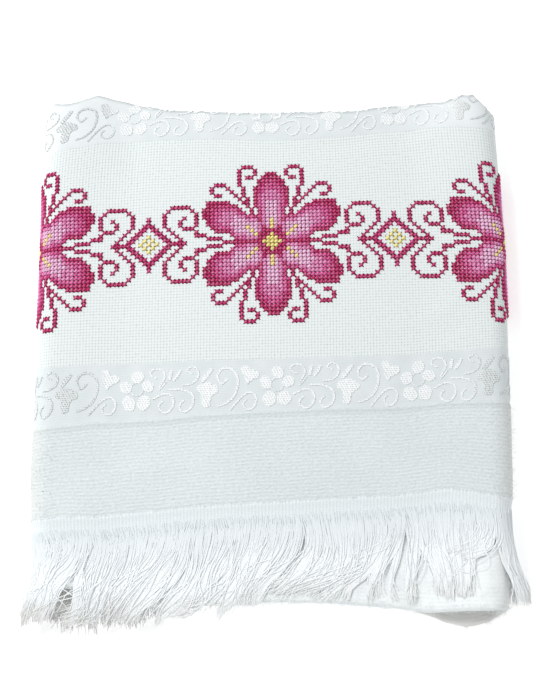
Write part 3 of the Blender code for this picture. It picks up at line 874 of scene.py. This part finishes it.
# %% Lead the threads
def thread_paths(count, seed, rest, lift, hold, rings, loose):
    """Points along each thread, in metres: threads by rings by 3."""
    def chance(spread):
        """A number by chance for each lock, given to its threads."""
        return rng.uniform(-spread, spread, LOCKS + 10)[lock]

    rng = np.random.default_rng(seed)
    across = np.linspace(-FRINGE_REACH, FRINGE_REACH, count)
    across += rng.uniform(-PLACE_VARIES, PLACE_VARIES, count)
    lock, home, half = lock_of(across, rng)
    stray = rng.random(count) < STRAY_SHARE
    under = np.abs(across) > TURN
    share = np.linspace(0, 1, rings)[None, :] * np.ones((count, 1))
    length = guide(5, home) * (1 + chance(LENGTH_VARIES))
    flap = read(FLAP_LOCK["across"], FLAP_LOCK["length"], np.abs(across))
    flap = flap * (1 + chance(LENGTH_VARIES))
    flap = flap * (1 - 0.3 * rng.random(count) ** 2) * np.where(across > 0, 0.87, 1.0)
    length = np.where(under, flap, length) * (1 - 0.03 * np.abs(rng.normal(0, 1, count)))
    gather = np.where(under, 0.5, hold * guide(6, home) + chance(GATHER_VARIES))
    gather = gather * rng.uniform(0.6, 1.05, count)
    # aside: with the lock, closer together, and a little of its own
    aside = np.where(under[:, None], 0.0, swept(home, share))
    aside = aside + chance(LOCK_SWAY)[:, None] * share ** 2
    aside += (home - across)[:, None] * gather[:, None] * ease(share * 1.1) ** 1.4
    wavy, phase = chance(LOCK_WAVE)[:, None], chance(2.0)[:, None]
    aside += wavy * np.sin(share * 11 + phase) * ease(share * 2)
    own = np.where(stray | under, 2.0, loose) * rng.normal(0, 1, count)
    bend_at = rng.uniform(3, 9, count)[:, None]
    aside += own[:, None] * np.sin(share * bend_at + phase) * ease(share * 1.5)
    tip_share = np.maximum(0, share - TIP_FROM) / 0.18
    aside += rng.normal(0, TIP_TURN, count)[:, None] * tip_share
    side = across[:, None] + aside
    # along: what is left of each step once it has gone aside
    up = TUCKED * rng.random(count) ** 1.6
    start = band_line("front_edge", across) - HEADING_GAP - HEADING + up
    pace = length[:, None] / (rings - 1)
    steps_aside = np.diff(side, axis=1)
    steps_down = np.sqrt(np.maximum(pace ** 2 - steps_aside ** 2, (LEAST_ALONG * pace) ** 2))
    along = np.concatenate([np.zeros((count, 1)), np.cumsum(steps_down, axis=1)], axis=1)
    key = key_of(side)
    edge_y = fold_line(BOTTOM_FOLD, key) + BOTTOM_BEND - EDGE_OVERHANG
    hangs_from = np.maximum(FREE_AFTER, start[:, None] - edge_y)
    free = np.maximum(0, along - hangs_from) * (~under)[:, None]
    y = start[:, None] - (along - free)
    # height
    place = np.clip((across - home) / half, -1, 1)
    lock_level = 0.5 + 0.5 * chance(1.0)
    dome = DOME * np.sqrt(1 - 0.96 * place ** 2) + rng.normal(0, DOME_VARIES, count)
    dome = dome[:, None]
    high = lock_level[:, None] * 0.2 + dome + np.where(stray, STRAY_RISE, 0.0)[:, None]
    root = HEADING_DEPTH + HEADING_SAG * (1 - up / HEADING) + np.where(lift > 0.5, -0.08, 0.3)
    root = (root + 0.06 * rng.random(count))[:, None]
    depth = root + (rest - high - root) * ease(share * 1.7)
    below = 1 - on_top(key)
    depth = depth * on_top(key) + (1.0 - 0.5 * dome) * below - lift * below * 0.5
    seat = fold_sides(key, y, depth, HEADING_THICK / 2)
    eased = np.sqrt(free ** 2 + HANG_START ** 2) - HANG_START
    fall = np.clip(eased * math.sin(HANG_SLOPE) / HANG_HEIGHT, 0, 1)
    floor = (0.35 + (0.8 + 1.6 * high + lift) * on_top(key)) * MM
    turn = np.clip(np.abs(key) - 1, 0, 1) * math.pi
    fan = np.where(key < 0, -SIDE_FAN["left"], SIDE_FAN["right"]) * np.sin(turn) ** 2 * share ** 2
    seat[..., 0] += fan * MM
    seat[..., 1] -= free * math.cos(HANG_SLOPE) * MM
    seat[..., 2] = np.maximum(floor, seat[..., 2] * (1 - fall))
    return seat


print("a lock is", LOCK_WIDTHS[0], "to", LOCK_WIDTHS[1], "mm wide")

# %% [markdown]
# A path becomes a thread by giving every ring of the template its own pair of
# directions, one to the side and one upwards, square to the way the thread runs.

# %% Bend strands along their paths
def unit(ways):
    """Directions of length 1."""
    return ways / np.linalg.norm(ways, axis=-1, keepdims=True)


def bend_strands(mesh, template, paths, wide, tall, taper=0.0, waist=0.0):
    """Send each copy of a strand along its own path."""
    count, rings = paths.shape[:2]
    ring = np.rint(template[:, 0] * (rings - 1)).astype(int)
    way = unit(np.gradient(paths, axis=1))
    side = unit(np.cross(way, (0.0, 0.0, 1.0)))
    up = np.cross(side, way)
    slim = 1 - taper * template[:, 0] ** 4 - waist * np.abs(2 * template[:, 0] - 1) ** 3
    offset = side[:, ring] * (template[:, 1] * slim)[None, :, None] * wide
    offset += up[:, ring] * (template[:, 2] * slim)[None, :, None] * tall
    points = pressed((paths[:, ring] + offset).reshape(-1, 3))
    along = np.tile(template[:, 0], count)
    number = np.repeat(np.arange(count), len(template))
    set_uv(mesh, np.stack([along, number], axis=1))
    set_points(mesh, points)


print("a way of length 1:", unit(np.array((3.0, 4.0))))

# %% [markdown]
# Each cotton thread has its own tone and a fine twist. It has painted shade at its
# root, where its neighbours shade it, and painted beige shade at its tip, most of all
# on the left, where the tips lie in shadow.

# %% The finish of the fringe
thread_finish, shader, u, v = new_finish("fringe_cotton", 0.75, 0.3)
tone = noise(u * 3.0, v * 7.3, 1.0, 1.0)
twist = wave(u + v * 0.37, 0.045)
fibre = tone * 0.75 + twist * 0.25
colour = blend_colour(fibre, (0.885, 0.920, 0.940), (0.960, 0.985, 0.998))
root = limited(u * -2.2 + 0.95)
colour = blend_colour(root, colour, (0.735, 0.785, 0.805))
# painted shade at the tips, strongest on the left
tip = u ** 9.0 * ((1.0 - rising(v, 800.0, 400.0)) * 0.30 + 0.40)
colour = blend_colour(tip, colour, (0.680, 0.665, 0.620))
set_shader(shader, {"Base Color": colour})
print(thread_finish.name, "ready")

# %% [markdown]
# Two layers of locks lie over each other, with some loose threads on top. Six of the
# loose ones cross the fringe's opening.

# %% Make the fringe threads
# Strays over the opening: share of the way to its right bank, first and last, and
# between which shares of the length a stray goes over
STRAYS = (
    (1.0, 0.10, 0.52, 0.95), (1.0, 0.45, 0.48, 0.80), (0.0, 0.95, 0.58, 0.84),
    (0.05, 0.75, 0.70, 0.98), (0.9, -0.10, 0.66, 1.0), (0.5, 0.30, 0.40, 0.90),
)


def over_opening(paths):
    """Lead a few loose threads over the opening, from bank to bank."""
    across = np.linspace(-FRINGE_REACH, FRINGE_REACH, len(paths))
    banks = [paths[np.argmin(np.abs(across - place))] for place in (PARTING - 4, PARTING + 4)]
    first = int(np.searchsorted(across, PARTING - len(STRAYS)))
    share = np.linspace(0, 1, paths.shape[1])[:, None]
    led = paths.copy()
    for number, (start, end, leaves, joins) in enumerate(STRAYS):
        over = start + (end - start) * ease((share - leaves) / (joins - leaves))
        led[first + number] = banks[0] + (banks[1] - banks[0]) * over
    return led


# Each piece: name, threads, seed, depth of rest, lift, hold, rings and looseness
for name, count, seed, rest, lift, hold, rings, loose in (
        ("fringe_under", 2300, 11, 2.72, 0.0, 0.30, 11, 0.28),
        ("fringe_over", 2300, 23, 2.45, 0.6, 0.8, 11, 0.28),
        ("fringe_loose", 300, 31, 1.75, 0.8, 0.3, 17, 2.6)):
    paths = thread_paths(count, seed, rest, lift, hold, rings, loose)
    if name == "fringe_loose":
        paths = over_opening(paths)
    mesh, template = copies(strand(4, rings - 2), count, name)
    bend_strands(mesh, template, paths, THREAD_WIDE * MM, THREAD_TALL * MM, 0.4)
    piece = make_piece(mesh, name, thread_finish, smooth=False)

# %% [markdown]
# ### Loose pile at the folds
#
# Where velour goes round a fold its pile opens, and single hairs stand out from the
# edge. Short three-sided hairs start at points of the cloth's own mesh and follow its
# normals, a little bent.

# %% Make the loose pile
HAIRS, HAIR_LONG, HAIR_WIDE = 2600, 1.5, 0.24
BOTTOM_ROLL, ROLL_KEY, SIDE_KEYS = (500, 516), 2.2, (0.98, 1.6)


def pile_hairs():
    """Hairs on the bottom fold and on the velour of the side folds."""
    rng = np.random.default_rng(17)
    along, key = cloth_along, np.abs(cloth_key)
    on_fold = (along > BOTTOM_ROLL[0]) & (along < BOTTOM_ROLL[1]) & (key < ROLL_KEY)
    on_side = (along < BAND_STARTS[1]) & (key > SIDE_KEYS[0]) & (key < SIDE_KEYS[1])
    spots = rng.choice(np.flatnonzero((on_fold | on_side) & ~cloth_back), HAIRS)
    normals = np.empty(len(cloth_mesh.vertices) * 3)
    cloth_mesh.vertices.foreach_get("normal", normals)
    normals = normals.reshape(-1, 3)[spots]
    roots = points_of(cloth_mesh)[spots] + rng.normal(0, 0.9, (HAIRS, 3)) * (1, 0.4, 0) * MM
    lean = unit(normals + rng.normal(0, 0.45, (HAIRS, 3)))
    tips = roots + lean * (rng.uniform(0.5, 1.0, (HAIRS, 1)) * HAIR_LONG * MM)
    paths = np.stack([roots - normals * 0.2 * MM, tips], axis=1)
    paths[..., 2] = np.maximum(paths[..., 2], 0.2 * MM)
    mesh, template = copies(strand(3, 0), HAIRS, "velour_loose_pile")
    bend_strands(mesh, template, paths, HAIR_WIDE * MM, HAIR_WIDE * MM, 0.5)
    return make_piece(mesh, "velour_loose_pile", velour)


hairs = pile_hairs()

# %% [markdown]
# ## The cross-stitch chart
#
# Cross-stitch is worked from a chart: one square for one stitch. The border repeats
# a six-petal flower with curled tendrils, and a small diamond with four scrolls, and
# both are the same left and right and above and below. So only a quarter of each is
# charted, and mirroring gives the rest. Letters stand for the thread: D deep
# raspberry, M magenta, P pink, B blush, L lilac and Y yellow.

# %% Squares of the flower
STITCH_ACROSS, SIDE_MARGIN = 2.21, 4.0
TOP_PETAL = {19: 1, 18: 2, 17: 3, 16: 3, 15: 4, 14: 4, 13: 4, 12: 4, 11: 4, 10: 4, 9: 3,
             8: 3, 7: 3, 6: 2, 5: 2, 4: 1}
SIDE_PETAL = {11: (11, 16), 10: (9, 16), 9: (8, 17), 8: (7, 17), 7: (5, 17), 6: (4, 16),
              5: (3, 16), 4: (3, 15), 3: (3, 14), 2: (3, 10), 1: (3, 9)}
TENDRILS = (
    (2, 4), (2, 5), (3, 6), (4, 7), (5, 8), (5, 9),
    (6, 10), (6, 11), (6, 12), (7, 13), (7, 14), (7, 15), (8, 16), (8, 17), (8, 18),
    (8, 19), (8, 20), (7, 21), (6, 21), (5, 21), (4, 20), (4, 19), (5, 18), (6, 18),
    (7, 11), (8, 12), (9, 13), (10, 14), (11, 15), (12, 16), (13, 16), (14, 16),
    (15, 15), (15, 14), (14, 13), (13, 13),
)
BRANCH = [(i, 1) for i in range(13, 17)] + [(i, 2) for i in range(17, 20)]
print(len(TENDRILS) + len(BRANCH), "squares of tendrils and branches in a quarter")

# %% [markdown]
# A petal's shading runs from a deep rim and tip to a pale middle and foot. It follows
# from two numbers: how many stitches a square is from the rim, and how far it is out
# from the flower's centre. For each step from the rim, PETAL_LIMITS says how far out
# D, M, P and B begin, and what is nearer the centre is L.

# %% The chart of the flower
PETAL_LIMITS = ((0.52, 0.41, 0.33, 0.0), (0.86, 0.70, 0.50, 0.34), (0.97, 0.83, 0.68, 0.50),
                (1.10, 0.89, 0.75, 0.60))


def rim_steps(cells, cell):
    """How many stitches a square is from the nearest empty one."""
    for steps_out in range(1, 6):
        for i in range(-steps_out, steps_out + 1):
            j = steps_out - abs(i)
            for at in ((cell[0] + i, cell[1] + j), (cell[0] + i, cell[1] - j)):
                if at not in cells:
                    return steps_out - 1
    return 5


def petal_shades(cells, tip):
    """Letters for a petal's squares."""
    far = math.hypot(*tip)
    shades = {}
    for cell in cells:
        out = (cell[0] * tip[0] + cell[1] * tip[1]) / far ** 2
        limits = PETAL_LIMITS[min(rim_steps(cells, cell), 3)]
        shades[cell] = "DMPBL"[sum(out < limit for limit in limits)]
    return shades


def mirrored(quarter):
    """A chart with the same letters in all four quarters."""
    chart = {}
    for (i, j), letter in quarter.items():
        for at in ((i, j), (-i, j), (i, -j), (-i, -j)):
            chart[at] = letter
    return chart


def flower_chart():
    """All squares of one flower."""
    top_petal = {(i, j) for j, half in TOP_PETAL.items() for i in range(-half, half + 1)}
    side_petal = {(i, j) for j, (a, b) in SIDE_PETAL.items() for i in range(a, b + 1)}
    quarter = petal_shades(top_petal, (0, 19.5))
    quarter.update(petal_shades(side_petal, (17, 9)))
    quarter.update({(0, j): "Y" for j in range(4, 7)})
    quarter.update({(4, 2): "Y", (5, 3): "Y", (6, 4): "Y"})
    quarter.update({cell: "D" for cell in (*TENDRILS, *BRANCH, (2, 2), (1, 3), (3, 1), (2, 3))})
    quarter.update({(3, 2): "M"})
    quarter.update({(i, 0): "D" for i in range(3, 13)})
    chart = mirrored(quarter)
    for i in range(-3, 4):
        for j in range(-3, 4):
            if abs(i) + abs(j) <= 3:
                chart[(i, j)] = "D" if abs(i) + abs(j) == 3 else "Y"
    return chart


flower = flower_chart()
print(len(flower), "stitches in a flower")

# %% [markdown]
# The diamond has two rings, a lattice of yellow in its middle, and a scroll in each
# quarter that meets the flower's branches.

# %% The chart of the diamond
SCROLL = (
    (8, 1), (7, 2), (6, 3), (5, 4), (4, 5), (4, 6), (4, 7), (4, 8), (5, 9),
    (6, 10), (7, 10), (8, 10), (9, 10), (10, 10), (11, 9), (12, 8), (12, 7), (12, 6),
    (12, 5), (11, 4), (10, 4), (9, 4), (8, 5), (8, 6), (9, 7), (12, 3), (13, 2), (14, 2),
)


def diamond_chart():
    """All squares of one diamond with its scrolls."""
    chart = {}
    for i in range(-6, 7):
        for j in range(-6, 7):
            if abs(i) + abs(j) in (5, 6):
                chart[(i, j)] = "D" if abs(i) + abs(j) == 6 else "M"
            elif abs(i) + abs(j) <= 2 and (i + j) % 2 == 0:
                chart[(i, j)] = "Y"
    quarter = {cell: "D" for cell in SCROLL}
    quarter.update({(0, 7): "M", (7, 0): "D", (8, 0): "D", (9, 0): "D"})
    return {**chart, **mirrored(quarter)}


stitches = {}
diamond = diamond_chart()
for motif, centres in ((flower, (0, 62, -62)), (diamond, (31, -31, 93, -93))):
    for centre in centres:
        for (i, j), letter in motif.items():
            if abs((centre + i) * STITCH_ACROSS) < CLOTH_WIDTH / 2 - SIDE_MARGIN:
                stitches.setdefault((centre + i, j), letter)
print(len(diamond), "stitches in a diamond,", len(stitches), "in all")

# %% [markdown]
# ## Thread crosses
#
# Each stitch is two threads crossing from corner to corner, the second over the
# first. Both ends dive into the holes of the weave. A thread's finish has painted
# shade at its ends, where it turns down and its neighbours shade it, and a painted
# highlight on its rounded middle, as silky embroidery thread shows. The thread below,
# which has an even number, gets painted shade, most of all in the deep colours.

# %% Embroidery threads
ROW_ABOVE, ROW_BELOW, LEAN = 2.11, 2.21, 0.024
CROSS_TALL, CROSS_RINGS, CROSS_REACH, DIVE = 0.5, 5, 0.56, 0.34
SLOPES_AND_RISES = ((-1, 0.34), (1, 0.62))
# Each thread: name, colour at its ends (painted shade) and on its middle, how light the thread
# below is (painted shade), width
THREADS = {
    "D": ("raspberry", (0.080, 0.0004, 0.008), (0.545, 0.018, 0.140), 0.30, 1.30),
    "M": ("magenta", (0.110, 0.0005, 0.016), (0.620, 0.042, 0.210), 0.45, 1.24),
    "P": ("pink", (0.140, 0.002, 0.030), (0.720, 0.100, 0.330), 0.75, 1.16),
    "B": ("blush", (0.170, 0.004, 0.050), (0.790, 0.250, 0.510), 0.90, 1.14),
    "L": ("lilac", (0.200, 0.010, 0.070), (0.860, 0.510, 0.730), 0.95, 1.14),
    "Y": ("yellow", (0.220, 0.130, 0.006), (0.880, 0.780, 0.260), 0.85, 1.24),
}


def thread_finish_of(name, dark, light, below):
    """Silky embroidery thread, with painted shade where it dives into the cloth and on the thread
    below, and a painted highlight on its middle.
    """
    finish, shader, u, v = new_finish("thread_" + name, 0.45, 0.22)
    dome = 1.0 - abs(u - 0.5) * 2.0
    tone = noise(u * 2.0, v * 5.7, 1.0, 1.0)
    # painted shade on the thread below, which has an even number
    under_thread_shade = v % 2.0 * (1.0 - below) + below
    share = limited(limited((dome * 1.9) ** 1.5) * (tone + 0.5))
    colour = blend_colour(share * under_thread_shade, dark, light)
    # painted highlight on the thread's middle
    painted_highlight = limited(dome * tone * under_thread_shade * 2.2 - 0.80)
    highlight_colour = tuple(0.6 * part + 0.4 * white for part, white in zip(light, (0.95, 0.72, 0.86)))
    set_shader(shader, {"Base Color": blend_colour(painted_highlight, colour, highlight_colour)})
    return finish


print(len(THREADS), "colours of thread")

# %% [markdown]
# The chart gives each stitch its place on the cloth, and a seeded generator makes no
# two stitches quite alike.

# %% Make the stitches
def from_chart(i, j):
    """Distances across and along the cloth of a place on the chart."""
    pitch = np.where(j > 0, ROW_ABOVE, ROW_BELOW)
    across = i * STITCH_ACROSS - LEAN * j * pitch
    return across, band_line("flower_row", across) + j * pitch


def stitch_paths(cells, rng):
    """Both threads of each cross: twice the cells, by rings, by 3."""
    cells = np.asarray(cells, float)
    t = np.linspace(0, 1, CROSS_RINGS)[None, :]
    paths = []
    for slope, rise in SLOPES_AND_RISES:
        jitter = rng.normal(0, 0.045, (len(cells), 2, 2))
        reach = CROSS_REACH + rng.normal(0, 0.02, len(cells))[:, None]
        i = cells[:, :1] + (2 * t - 1) * reach + jitter[:, 0, :1] * (1 - t) + jitter[:, 0, 1:] * t
        j = cells[:, 1:] + slope * (2 * t - 1) * reach + jitter[:, 1, :1] * t
        height = (rise + DIVE) * np.sin(math.pi * t) ** 1.2 - DIVE
        paths.append(on_face(*from_chart(i, j), height))
    return np.stack(paths, axis=1).reshape(-1, CROSS_RINGS, 3)


for letter, (name, dark, light, below, wide) in THREADS.items():
    cells = sorted(cell for cell, used in stitches.items() if used == letter)
    paths = stitch_paths(cells, np.random.default_rng(ord(letter)))
    mesh, template = copies(strand(5, CROSS_RINGS - 2), len(paths), "cross_stitch_" + name)
    bend_strands(mesh, template, paths, wide * MM, CROSS_TALL * MM, waist=0.4)
    finish = thread_finish_of(name, dark, light, below)
    make_piece(mesh, "cross_stitch_" + name, finish)

# %% [markdown]
# The needle opened the weave at every corner of a stitch, and up to four threads dive
# into each of these holes. From above a hole looks almost black red, from the thread
# ends and the shade in it. A low five-sided button closes each hole: its colour is
# painted shade of the pit, tinted by the deep thread ends in it. It is larger where
# more threads meet.

# %% Fill the holes between the stitches
HOLE_SIZES = {1: 0.36, 2: 0.54, 3: 0.76, 4: 0.90}
HOLE_FOOT, HOLE_RISE, HOLE_PITCH = 0.24, 0.16, 2.2
# Each kind of hole: name, letters of its threads, name of the finish and its colour, painted shade
# of the pit
HOLES = (
    ("stitch_hole_shades_deep", "DM", "hole_shade_deep", (0.130, 0.001, 0.016)),
    ("stitch_hole_shades_petal", "PBL", "hole_shade_petal", (0.160, 0.002, 0.030)),
    ("stitch_hole_shades_yellow", "Y", "hole_shade_olive", (0.200, 0.110, 0.012)),
)


def kind_of(used):
    """The kind of hole in which threads of these letters meet."""
    return "Y" if set(used) == {"Y"} else "PBL" if set(used) & set("PBL") else "DM"


def hole_piece(name, letters, finish):
    """A button of painted shade in each hole of this kind."""
    corners = {}
    for (i, j), letter in sorted(stitches.items()):
        for y in (j - 0.5, j + 0.5):
            for x in (i - 0.5, i + 0.5):
                corners.setdefault((x, y), []).append(letter)
    spot = np.array([(*at, len(used)) for at, used in corners.items() if kind_of(used) == letters])
    rng = np.random.default_rng(5)
    button = bmesh.new()
    bmesh.ops.create_cone(button, cap_ends=True, segments=5, radius1=1.0, radius2=0.0, depth=1.0)
    mesh, template = copies(mesh_from(button, "button"), len(spot), name)
    size = np.array([HOLE_SIZES[int(n)] for n in spot[:, 2]]) * rng.uniform(0.8, 1.15, len(spot))
    i, j = (spot[:, k:k + 1] + (template[:, k] * size[:, None]
                                + rng.normal(0, 0.06, (len(spot), 1))) / HOLE_PITCH for k in (0, 1))
    across, along = from_chart(i, j)
    points = on_face(across, along, HOLE_FOOT + HOLE_RISE * template[:, 2])
    set_uv(mesh, np.stack([across.ravel(), along.ravel()], axis=1))
    set_points(mesh, pressed(points.reshape(-1, 3)))
    return make_piece(mesh, name, finish, smooth=False)


for name, letters, finish_name, colour in HOLES:
    finish, _ = new_shader(finish_name, {
        "Base Color": (*colour, 1), "Roughness": 0.7, "Specular IOR Level": 0.1})
    hole_piece(name, letters, finish)

# %% [markdown]
# ## Satin scrolls of the ribbons
#
# The ribbons carry a woven pattern: where warp threads float over the ground they
# shine and stand a little proud. One repeat is 76 mm long. It has a flower of five
# round petals about an open ring, scrolls, buds, a three-part leaf and a hanging
# bunch. Lines are narrow slabs led along a smooth path, and filled shapes are low
# discs. Both are drawn flat, in millimetres from the flower's centre, and folded.

# %% Draw the repeat
REPEAT, REPEATS, SATIN_RISE, SATIN_FOOT = 76.0, 7, 0.34, -0.1


def smooth_path(points, count):
    """A smooth path through a few points."""
    points = np.asarray(points, float)
    steps_to = np.linalg.norm(np.diff(points, axis=0), axis=1)
    at = np.concatenate([[0], np.cumsum(steps_to)])
    want = np.linspace(0, at[-1], count)
    padded = np.vstack([2 * points[0] - points[1], points, 2 * points[-1] - points[-2]])
    i = np.clip(np.searchsorted(at, want, side="right") - 1, 0, len(points) - 2)
    t = ((want - at[i]) / steps_to[i])[:, None]
    p0, p1, p2, p3 = (padded[i + k] for k in range(4))
    return 0.5 * (2 * p1 + (p2 - p0) * t + (2 * p0 - 5 * p1 + 4 * p2 - p3) * t ** 2
                  + (3 * p1 - p0 - 3 * p2 + p3) * t ** 3)


RING_TURNS = [math.tau * k / 12 for k in range(13)]
RING = [(0.7 + 3.6 * math.cos(turn), 2.4 + 3.6 * math.sin(turn)) for turn in RING_TURNS]
LINES = (
    (RING, 0.42),
    # tail of the small spiral under the leaf, then its curl
    (((-25, -11.2), (-20.6, -6), (-17, -2.6), (-13.5, -1.6), (-10.9, -4.2), (-11.3, -8.6),
      (-14.4, -11.2), (-17.5, -9.5), (-17.5, -6.8), (-15.8, -5.5)), 1.05),
    # hook to the right of the flower
    (((11.3, 8.2), (8.3, 9.8), (8.2, 12.2), (10.9, 13.6), (14.6, 12.2), (15.6, 8.6), (13.7, 4.6),
      (12.6, 2.8)), 1.0),
    # small scroll further right
    (((30.7, 9.8), (27.7, 11.6), (30.6, 13.9), (33.9, 10.8), (33.0, 6.4), (29.4, 4.1),
      (25.4, 3.6)), 1.0),
    # two mirrored spirals below
    (((9.2, -3.2), (14.8, -0.8), (19.4, -1.7), (20.6, -6), (18.9, -9.6), (16.2, -11.2),
      (13.2, -9.5), (12.7, -6.8), (14.9, -4.6)), 1.15),
    (((18, 1.9), (25, 1.2), (30.3, -1.5), (31.3, -6), (29.5, -9.5), (26.6, -11.2), (24.1, -9.6),
      (24.1, -6.8), (26.3, -4.6)), 1.15),
    # the large spiral with its long tail
    (((49.6, 6.3), (46.6, 3.6), (44.2, 7.2), (45.5, 11.0), (49.3, 12.5), (54.0, 9.8),
      (55.3, 3.6), (53.2, -3.4), (48.6, -7.4), (44.3, -8.7)), 1.3),
    # buds
    (((18.3, 7.0), (18.7, 10.2), (19.4, 12.6)), 1.7),
    (((20.3, 6.6), (22.4, 9.2), (24.2, 12.2)), 1.7),
    (((12.5, 1.6), (14.6, 3.8), (16.6, 6.4)), 0.8),
    # the slanted leaf
    (((35.6, 5.0), (38.2, 8.4), (41.2, 12.2)), 2.4),
)
# Filled shapes: x, y, half width, half height, turn in degrees
DISCS = (
    (1.0, 9.2, 3.3, 3.5, 0), (-5.4, 3.6, 3.0, 3.7, 20), (6.7, 3.9, 3.2, 3.2, -20),
    (-3.5, -5.4, 3.5, 4.2, 12), (4.5, -5.2, 3.6, 4.1, -12),
    (-16.2, 10.4, 2.4, 3.4, 25), (-12.0, 8.4, 3.0, 2.5, -10), (-14.6, 7.0, 2.9, 2.4, 0),
    (-15.4, 4.6, 1.0, 1.8, -10),
    (36.0, 1.4, 3.3, 2.4, 20), (41.4, 0.7, 3.6, 2.8, -15), (38.9, 2.5, 3.2, 2.2, 0),
    (38.9, -1.4, 3.4, 2.6, 0), (38.3, -4.6, 2.4, 2.6, 0), (38.1, -7.2, 2.3, 2.2, 0),
)
print(len(LINES), "lines and", len(DISCS), "discs in each repeat")

# %% [markdown]
# The satin reads its own UV map too. Floats of thread are short and broken where the
# ground binds them down, so the finish is dotted in rows. Towards the side folds it
# turns away from the light and is duller.

# %% The satin finish
satin, shader, u, v = new_finish("satin_pattern", 0.32, 0.5)
slant = u + noise(v, u, 0.6) * 2.2 + v * 0.5
dots = wave(slant, 1.5) * wave(v, 1.15)
gaps = (dots + 0.12) * (noise(u, v, 1.0) * 1.6)
bright = blend_colour(gaps, (0.945, 0.955, 0.955), (0.50, 0.54, 0.55))
dull = blend_colour(gaps, (0.760, 0.790, 0.790), (0.27, 0.29, 0.29))
turned = rising(abs(u - 8.0), 97.0, 10.0)
set_shader(shader, {"Base Color": blend_colour(turned, bright, dull)})
bump(shader, 1.0 - gaps, 0.6, 0.3)
print(satin.name, "ready")

# %% [markdown]
# Lines and discs become one mesh for each ribbon. The upper ribbon's pattern is drawn
# a little shorter along the cloth.

# %% Make the satin patterns
def satin_line(points, wide):
    """A narrow slab along a smooth path, and where its points go."""
    path = smooth_path(points, 4 + 3 * len(points))
    way = unit(np.gradient(path, axis=0))
    aside = np.stack([-way[:, 1], way[:, 0]], axis=1)
    mesh = mesh_from(slab(len(path), 2), "line")
    step, edge, side = cells_of(mesh)
    # slimmer at its ends, and a little knotty
    slim = wide * (0.54 + 0.42 * np.sin(math.pi * (0.12 + 0.8 * step / (len(path) - 1))))
    slim = slim * (1 + 0.28 * np.sin(2.4 * step))
    at = path[step] + aside[step] * ((edge - 0.5) * slim)[:, None]
    return mesh, np.column_stack([at, np.where(side == 1, SATIN_RISE, SATIN_FOOT)])


def satin_disc(x, y, wide, high, turn, number):
    """A low disc with an uneven rim, and where its points go."""
    disc = bmesh.new()
    bmesh.ops.create_cone(disc, cap_ends=True, segments=16, radius1=1.0, radius2=0.93, depth=1)
    mesh = mesh_from(disc, "disc")
    rim_x, rim_y, side = points_of(mesh).T
    around, spin = np.arctan2(rim_y, rim_x), math.radians(turn)
    lobes = 1.06 + 0.07 * np.cos(2 * around + number) + 0.06 * np.cos(5 * around + 2.0 * number)
    out, up = rim_x * wide * lobes, rim_y * high * lobes
    height = np.where(side > 0, SATIN_RISE + 0.012 * (number % 5), SATIN_FOOT)
    return mesh, np.column_stack([x + out * math.cos(spin) - up * math.sin(spin),
                                  y + out * math.sin(spin) + up * math.cos(spin), height])


def pattern_piece(name, base_line, centre, middle, stretch):
    """All repeats of the pattern on one ribbon, drawn out along the cloth by a factor."""
    bm, flat = bmesh.new(), []
    for repeat in range(REPEATS):
        shapes = [satin_line(*line) for line in LINES]
        shapes += [satin_disc(*disc, repeat * len(DISCS) + k) for k, disc in enumerate(DISCS, 1)]
        for mesh, points in shapes:
            flat.append(points + (centre + REPEAT * (repeat - REPEATS // 2), 0, 0))
            bm.from_mesh(mesh)
            bpy.data.meshes.remove(mesh)
    mesh = mesh_from(bm, name)
    across, up, height = np.concatenate(flat).T
    set_uv(mesh, np.stack([across, up], axis=1))
    along = band_line(base_line, across) + middle + stretch * up
    set_points(mesh, pressed(on_face(across, along, height)))
    return make_piece(mesh, name, satin, smooth=False)


lower = pattern_piece("satin_lower_ribbon", "ribbon_top", 2.2, -16.8, 1.0)
upper = pattern_piece("satin_upper_ribbon", "panel_top", -4.5, 12.2, 0.86)

# %% [markdown]
# ## The size of the cloth
#
# The towel is a sheet of cloth 480 mm by 776 mm, folded, and the fringe, stitches
# and satin patterns go with it.

print("the sheet is", CLOTH_WIDTH, "by", BAND_STARTS[-1], "mm")

# %% [markdown]
# ## Floor and light
#
# The towel lies on a plain white floor. A bright even sky keeps the white cloth
# clean, and one large soft lamp from the upper left gives the folds their shade.

# %% Floor and lamps
FLOOR_SIZE, FLOOR_LEVEL, SKY_COLOUR, SKY_STRENGTH = 3.0, -0.2, (0.975, 0.985, 0.990, 1), 0.665
# Each lamp: place, size and power
LAMPS = (((-0.80, 0.50, 1.05), 0.6, 11.5), ((-0.1, -0.9, 1.3), 1.2, 1.1))

floor_grid = bmesh.new()
bmesh.ops.create_grid(floor_grid, x_segments=1, y_segments=1, size=FLOOR_SIZE)
floor_finish, _ = new_shader("floor_white", {
    "Base Color": (0.97, 0.97, 0.97, 1), "Roughness": 0.9, "Specular IOR Level": 0.0,
    "Emission Color": (1, 1, 1, 1), "Emission Strength": 0.35})
floor = add_object("floor", mesh_from(floor_grid, "floor"))
floor.data.materials.append(floor_finish)
floor.location.z = FLOOR_LEVEL * MM

world = bpy.data.worlds.new("sky")
world.use_nodes = True
sky = world.node_tree.nodes["Background"]
plug(sky.inputs["Color"], SKY_COLOUR)
plug(sky.inputs["Strength"], SKY_STRENGTH)
bpy.context.scene.world = world

for place, size, power in LAMPS:
    lamp_data = bpy.data.lights.new("lamp", "AREA")
    lamp_data.shape = "DISK"
    lamp_data.size = size
    lamp_data.energy = power
    lamp = add_object("lamp", lamp_data)
    lamp.location = place
    lamp.rotation_euler = (-Vector(place)).to_track_quat("-Z", "Y").to_euler()
bpy.context.scene.view_settings.view_transform = "Standard"
print("floor and lamps ready")
